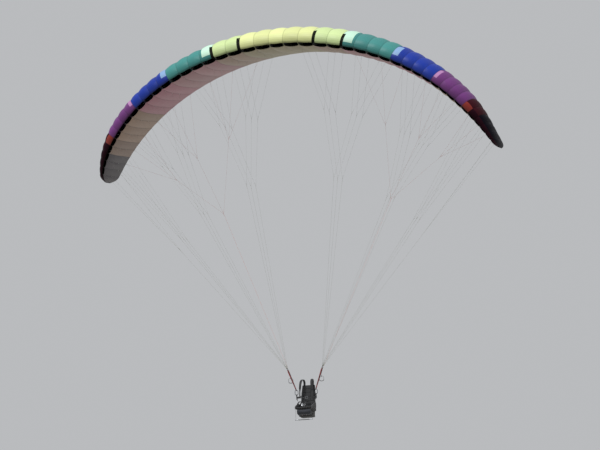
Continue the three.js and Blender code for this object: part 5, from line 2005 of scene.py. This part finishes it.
def hip_panel(side):
    x = side * (SHELL_HALF - 0.010)
    panel, column, row = flat_grid(14, 14)
    along, up = column[:, None] / 14, row[:, None] / 14
    wall = [np.array(on_seat(x, 0.004, o)) for o in (0.020, -0.146)]
    back_edge = [np.array(on_back(side * 0.158, u, 0.018)) for u in (0.004, 0.235)]
    lower, upper = (a * (1 - along) + b * along for a, b in zip(wall, back_edge))
    arc = 4 * along * (1 - along)
    slack = PANEL_SLACK * arc * np.sin(math.pi * up) ** 0.5
    points = lower * (1 - up) + upper * up
    move_points(panel, points + slack * (side, 0, 0) - PANEL_DIP * arc * up * (0, 0, 1))
    apply_modifier(panel, "SOLIDIFY", thickness=PANEL_THICK, offset=0)
    bevel(panel, 0.0015)
    apply_modifier(panel, "SUBSURF", levels=1, render_levels=1)
    return panel


for side, word in SIDES:
    panel = hip_panel(side)
    low = on_back(side * 0.1625, 0.33, 0.02)
    high = hang(side) - Z_AXIS * 0.150 - X_AXIS * side * 0.0145
    start = low - BACK_UP * 0.012 + BACK_BEHIND * 0.004
    path = smooth_path([start, low, low.lerp(high, 0.5) - Z_AXIS * 0.006, high,
                        high - Y_AXIS * 0.006], 30)
    strap = ribbon("strap", path, Z_AXIS, 0.020, 0.0024)
    ring = [Vector(path[17]) + Vector((0, x, z)) for x, _, z in rounded_rectangle(0.013, 0.014, 0.003, 3)]
    lock = ribbon("lock", ring, X_AXIS, 0.007, 0.003, closed=True)
    parts = covered((panel, SHELL_NYLON), (strap, WEB_BLACK), (lock, ALLOY_DARK))
    ride_harness(smooth_shading(join(parts, f"hip_panel{word}")), fill=0.2)

# %% [markdown]
# ## Buckles
# The chest and leg straps close with a steel buckle of two frames and a lock plate between them.
# Each frame is a flat bar carried round a rounded rectangle. The plate is a cube, inset and pressed
# in at its front, with its edges bevelled.

# %% Chest strap and buckles
def buckle(width, height, thick):
    """A closed buckle in the XZ plane, with its front towards -Y."""
    parts = []
    frame_half = width * 0.22
    for x in (-1, 1):
        shift = x * (width / 2 - frame_half - 0.003)
        path = rounded_rectangle(frame_half, height / 2 - 0.003, 0.005, 3)
        parts.append(ribbon("frame", [(p[0] + shift, 0, p[2]) for p in path], Y_AXIS, thick * 0.6,
                            0.006, closed=True))
        set_material(parts[-1], STEEL)
    plate = added(bpy.ops.mesh.primitive_cube_add, size=1)
    mesh = edit_mode(plate)
    for v in mesh.verts:
        v.co = (v.co.x * width * 0.36, v.co.y * thick, v.co.z * height * 0.8)
    for face in mesh.faces:
        face.select = face.normal.y < -0.5
    bpy.ops.mesh.inset(thickness=0.003)
    bpy.ops.transform.translate(value=(0, 0.0012, 0))
    object_mode()
    bevel(plate, 0.0011)
    return join([*parts, set_material(plate, ALLOY_DARK)], "buckle")


CHEST_FRONT, CHEST_HEIGHT, CHEST_REACH = 0.0467, HANG.z - CHEST_DOWN, 0.228
lock = at_place(buckle(0.062, 0.042, 0.010), (0, CHEST_FRONT - 0.0045, CHEST_HEIGHT))
path = [(x, CHEST_FRONT - 0.0006 * (1 - (x / CHEST_REACH) ** 2), CHEST_HEIGHT)
        for x in np.linspace(-CHEST_REACH, CHEST_REACH, 25)]
strap = ribbon("strap", path, Z_AXIS, HARNESS_WEB, 0.0026)
hanging = ((0.028, 0.0036, 0), (0.06, 0.0046, 0), (0.088, 0.0054, 0.004), (0.103, 0.0058, 0.013))
path = smooth_path([(x, CHEST_FRONT - out, CHEST_HEIGHT - down) for x, out, down in hanging], 14)
tail = ribbon("tail", path, Z_AXIS, 0.022, 0.002)
parts = [*covered((strap, WEB_BLACK), (tail, WEB_BLACK)), lock]
for x in (-0.2, 0.2):
    path = [(p[0] + x, CHEST_FRONT - 0.001, p[2] + CHEST_HEIGHT)
            for p in rounded_rectangle(0.012, 0.016, 0.004, 3)]
    slider = ribbon("slider", path, Y_AXIS, 0.005, 0.003, closed=True)
    parts.append(set_material(slider, ALLOY_DARK))
ride_harness(smooth_shading(join(parts, "chest_belt")), "chest_strap", slot="webbing")

# %% Shoulder straps
SHOULDER_PATH = [(0.100, 0.372, 0.222), (0.108, 0.300, 0.240), (0.116, 0.225, 0.222),
                 (0.124, 0.160, 0.165), (0.132, 0.126, 0.070), (0.142, 0.119, -0.050)]
HARNESS_MIDDLE = Vector((0, HANG.y - 0.133, HANG.z))
SHOULDER_WIDTHS = ((0, 0.06, 0.5, 0.72, 0.78, 1), (0.04, 0.044, 0.05, 0.044, 0.026, 0.026))
SHOULDER_THICKS = ((0, 0.03, 0.1, 0.66, 0.74, 1), (0.004, 0.007, 0.012, 0.011, 0.004, 0.003))
BARE_WIDE, BARE_THICK = 0.025, 0.0026


def padded_strap(path, across, width, thick):
    """A foam-filled strap: rounded across, with a sewn edge that stays thin."""
    return set_material(sweep("pad", flat_rings(path, across, width, thick, ROUND_SECTION)),
                        SHELL_NYLON)


def edge_tape(path, across, width):
    """The bound edges of a padded strap, one cord at each side."""
    points, along = directions(path, False)
    out = square_to(along, across) * (np.asarray(width)[:, None] / 2)
    return [set_material(tube("tape", points + out * sign, Y_AXIS + Z_AXIS * 0.3, 0.0022, 8), BINDING)
            for sign in (1, -1)]


for side, word in SIDES:
    stations = [on_back(side * 0.095, BACK_LONG - 0.004, 0.015),
                on_back(side * 0.096, 0.639, 0.009)]
    stations += [HARNESS_MIDDLE + Vector((side * out, behind, up)) for out, behind, up in SHOULDER_PATH]
    stations.append(Vector((side * 0.15, HANG.y - 0.0076, HANG.z - CHEST_DOWN)))
    path = smooth_path(stations, 64)
    along = lengths(path) / lengths(path)[-1]
    width, thick = np.interp(along, *SHOULDER_WIDTHS), np.interp(along, *SHOULDER_THICKS)
    end = int(np.searchsorted(along, 0.75))
    pad = padded_strap(path[:end], X_AXIS, width[:end], thick[:end])
    tapes = edge_tape(path[1:end - 1], X_AXIS, width[1:end - 1])
    bare = ribbon("bare", path[end - 6:], X_AXIS, BARE_WIDE, BARE_THICK)
    over = path[end + 1] - path[end - 2]
    keeper = ribbon("keeper", [path[end - 2] + over * k for k in (0, 0.1, 0.9, 1)], X_AXIS,
                    ends_at(0.026, 0.030), ends_at(0.004, 0.0085))
    parts = [pad, *tapes, *covered((bare, WEB_BLACK), (keeper, ALLOY_DARK))]
    whole = smooth_shading(join(parts, f"shoulder_pad{word}"))
    ride_harness(whole, f"shoulder_strap{word}", fill=0.5)

# %% Leg straps
THIGH_PATH = [(0.176, 0.262, -0.040), (0.160, 0.265, -0.098), (0.130, 0.272, -0.132),
              (0.092, 0.284, -0.146), (0.056, 0.306, -0.132), (0.032, 0.340, -0.085)]
FRONT_EDGE = 0.3663
LEG_WIDTHS = ((0, 0.12, 0.2, 0.6, 0.7, 1), (0.026, 0.026, 0.046, 0.046, 0.026, 0.026))
LEG_THICKS = ((0, 0.14, 0.22, 0.58, 0.66, 1), (0.003, 0.003, 0.010, 0.010, 0.003, 0.003))
PAD_STATIONS, BUCKLE_STATION = slice(9, 42), 46

for side, word in SIDES:
    stations = [(0.1787, 0.262, -0.014), *THIGH_PATH, (0.026, FRONT_EDGE, -0.028),
                (0.026, FRONT_EDGE, -0.008), (0.026, FRONT_EDGE, 0.011)]
    path = smooth_path([on_seat(side * x, s, o) for x, s, o in stations], 64)
    share = np.arange(65) / 64
    turn = eased((share - 0.4) / 0.45)
    across = np.array(SEAT_AHEAD) * (1 - turn) + np.array(X_AXIS * side) * turn
    width, thick = np.interp(share, *LEG_WIDTHS), np.interp(share, *LEG_THICKS)
    pad = padded_strap(*(rows[PAD_STATIONS] for rows in (path, across, width, thick)))
    bare = set_material(ribbon("bare", path, across, BARE_WIDE, BARE_THICK), WEB_BLACK)
    toward = Vector(path[BUCKLE_STATION + 2] - path[BUCKLE_STATION - 1]).normalized()
    wide = Vector(across[BUCKLE_STATION])
    wide = (wide - toward * toward.dot(wide)).normalized()
    lock = at_place(buckle(0.046, 0.036, 0.008), path[BUCKLE_STATION], wide, toward)
    whole = smooth_shading(join([pad, bare, lock], f"leg_loop{word}"))
    ride_harness(whole, f"leg_strap{word}", slot="webbing", fill=0.5)

# %% [markdown]
# ## Foot bar
# The foot bar pulls the speed system. It is an aluminium tube in a rubbed webbing sleeve, hung by
# two cords that pass through rings at the seat's front corners and are knotted there.

# %% Foot bar
FOOT_BAR, FOOT_CORD, FOOT_DROP, FOOT_INSET = 0.0078, 0.002, 0.245, 0.012
RING_AT, RING_DOWN = 0.3598, 0.028
KNOT_HALF, KNOT_LIFT, KNOT_CORD = 0.0034, 0.0022, 0.0018
SLEEVE_STATIONS = (0.16, 0.165, 0.4, 0.6, 0.835, 0.84)

parts, ends = [], []
for side in (1, -1):
    ring = on_seat(side * (SHELL_HALF - FOOT_INSET), RING_AT, RING_DOWN)
    path = [ring - Z_AXIS * FOOT_DROP * k / 12 for k in range(13)]
    cord = tube("cord", path, X_AXIS, FOOT_CORD, 8)
    path = [Vector((KNOT_HALF * math.cos(a), KNOT_HALF * math.sin(a), KNOT_LIFT * math.sin(2 * a)))
            for a in full_turn(16)]
    knot = at_place(tube("knot", path, Z_AXIS, KNOT_CORD, 8, True), ring)
    ends.append(ring - Z_AXIS * FOOT_DROP)
    cap = new_cylinder(FOOT_BAR + 0.0004, 0.012, ends[-1] + X_AXIS * side * 0.006, 20)
    bevel(cap, 0.002, 3)
    parts += covered((cord, BLACK_BRAID), (knot, BLACK_BRAID), (cap, RUBBER))
left, right = ends
bar = tube("bar", [right.lerp(left, k / 8) for k in range(9)], Z_AXIS, FOOT_BAR - 0.001, 20)
radii = [FOOT_BAR - 0.0006, FOOT_BAR, FOOT_BAR, FOOT_BAR, FOOT_BAR, FOOT_BAR - 0.0006]
sleeve = tube("sleeve", [right.lerp(left, k) for k in SLEEVE_STATIONS], Z_AXIS, radii, 20)
foot_bar = join([*covered((bar, ALLOY), (sleeve, WEB_BLACK)), *parts], "foot_bar")
ride_harness(smooth_shading(foot_bar), "speed_bar", slot="alloy")

# %% Measure the visual box and finish
low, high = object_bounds()
print("visual box", [round(v, 3) for v in (*low, *high)])
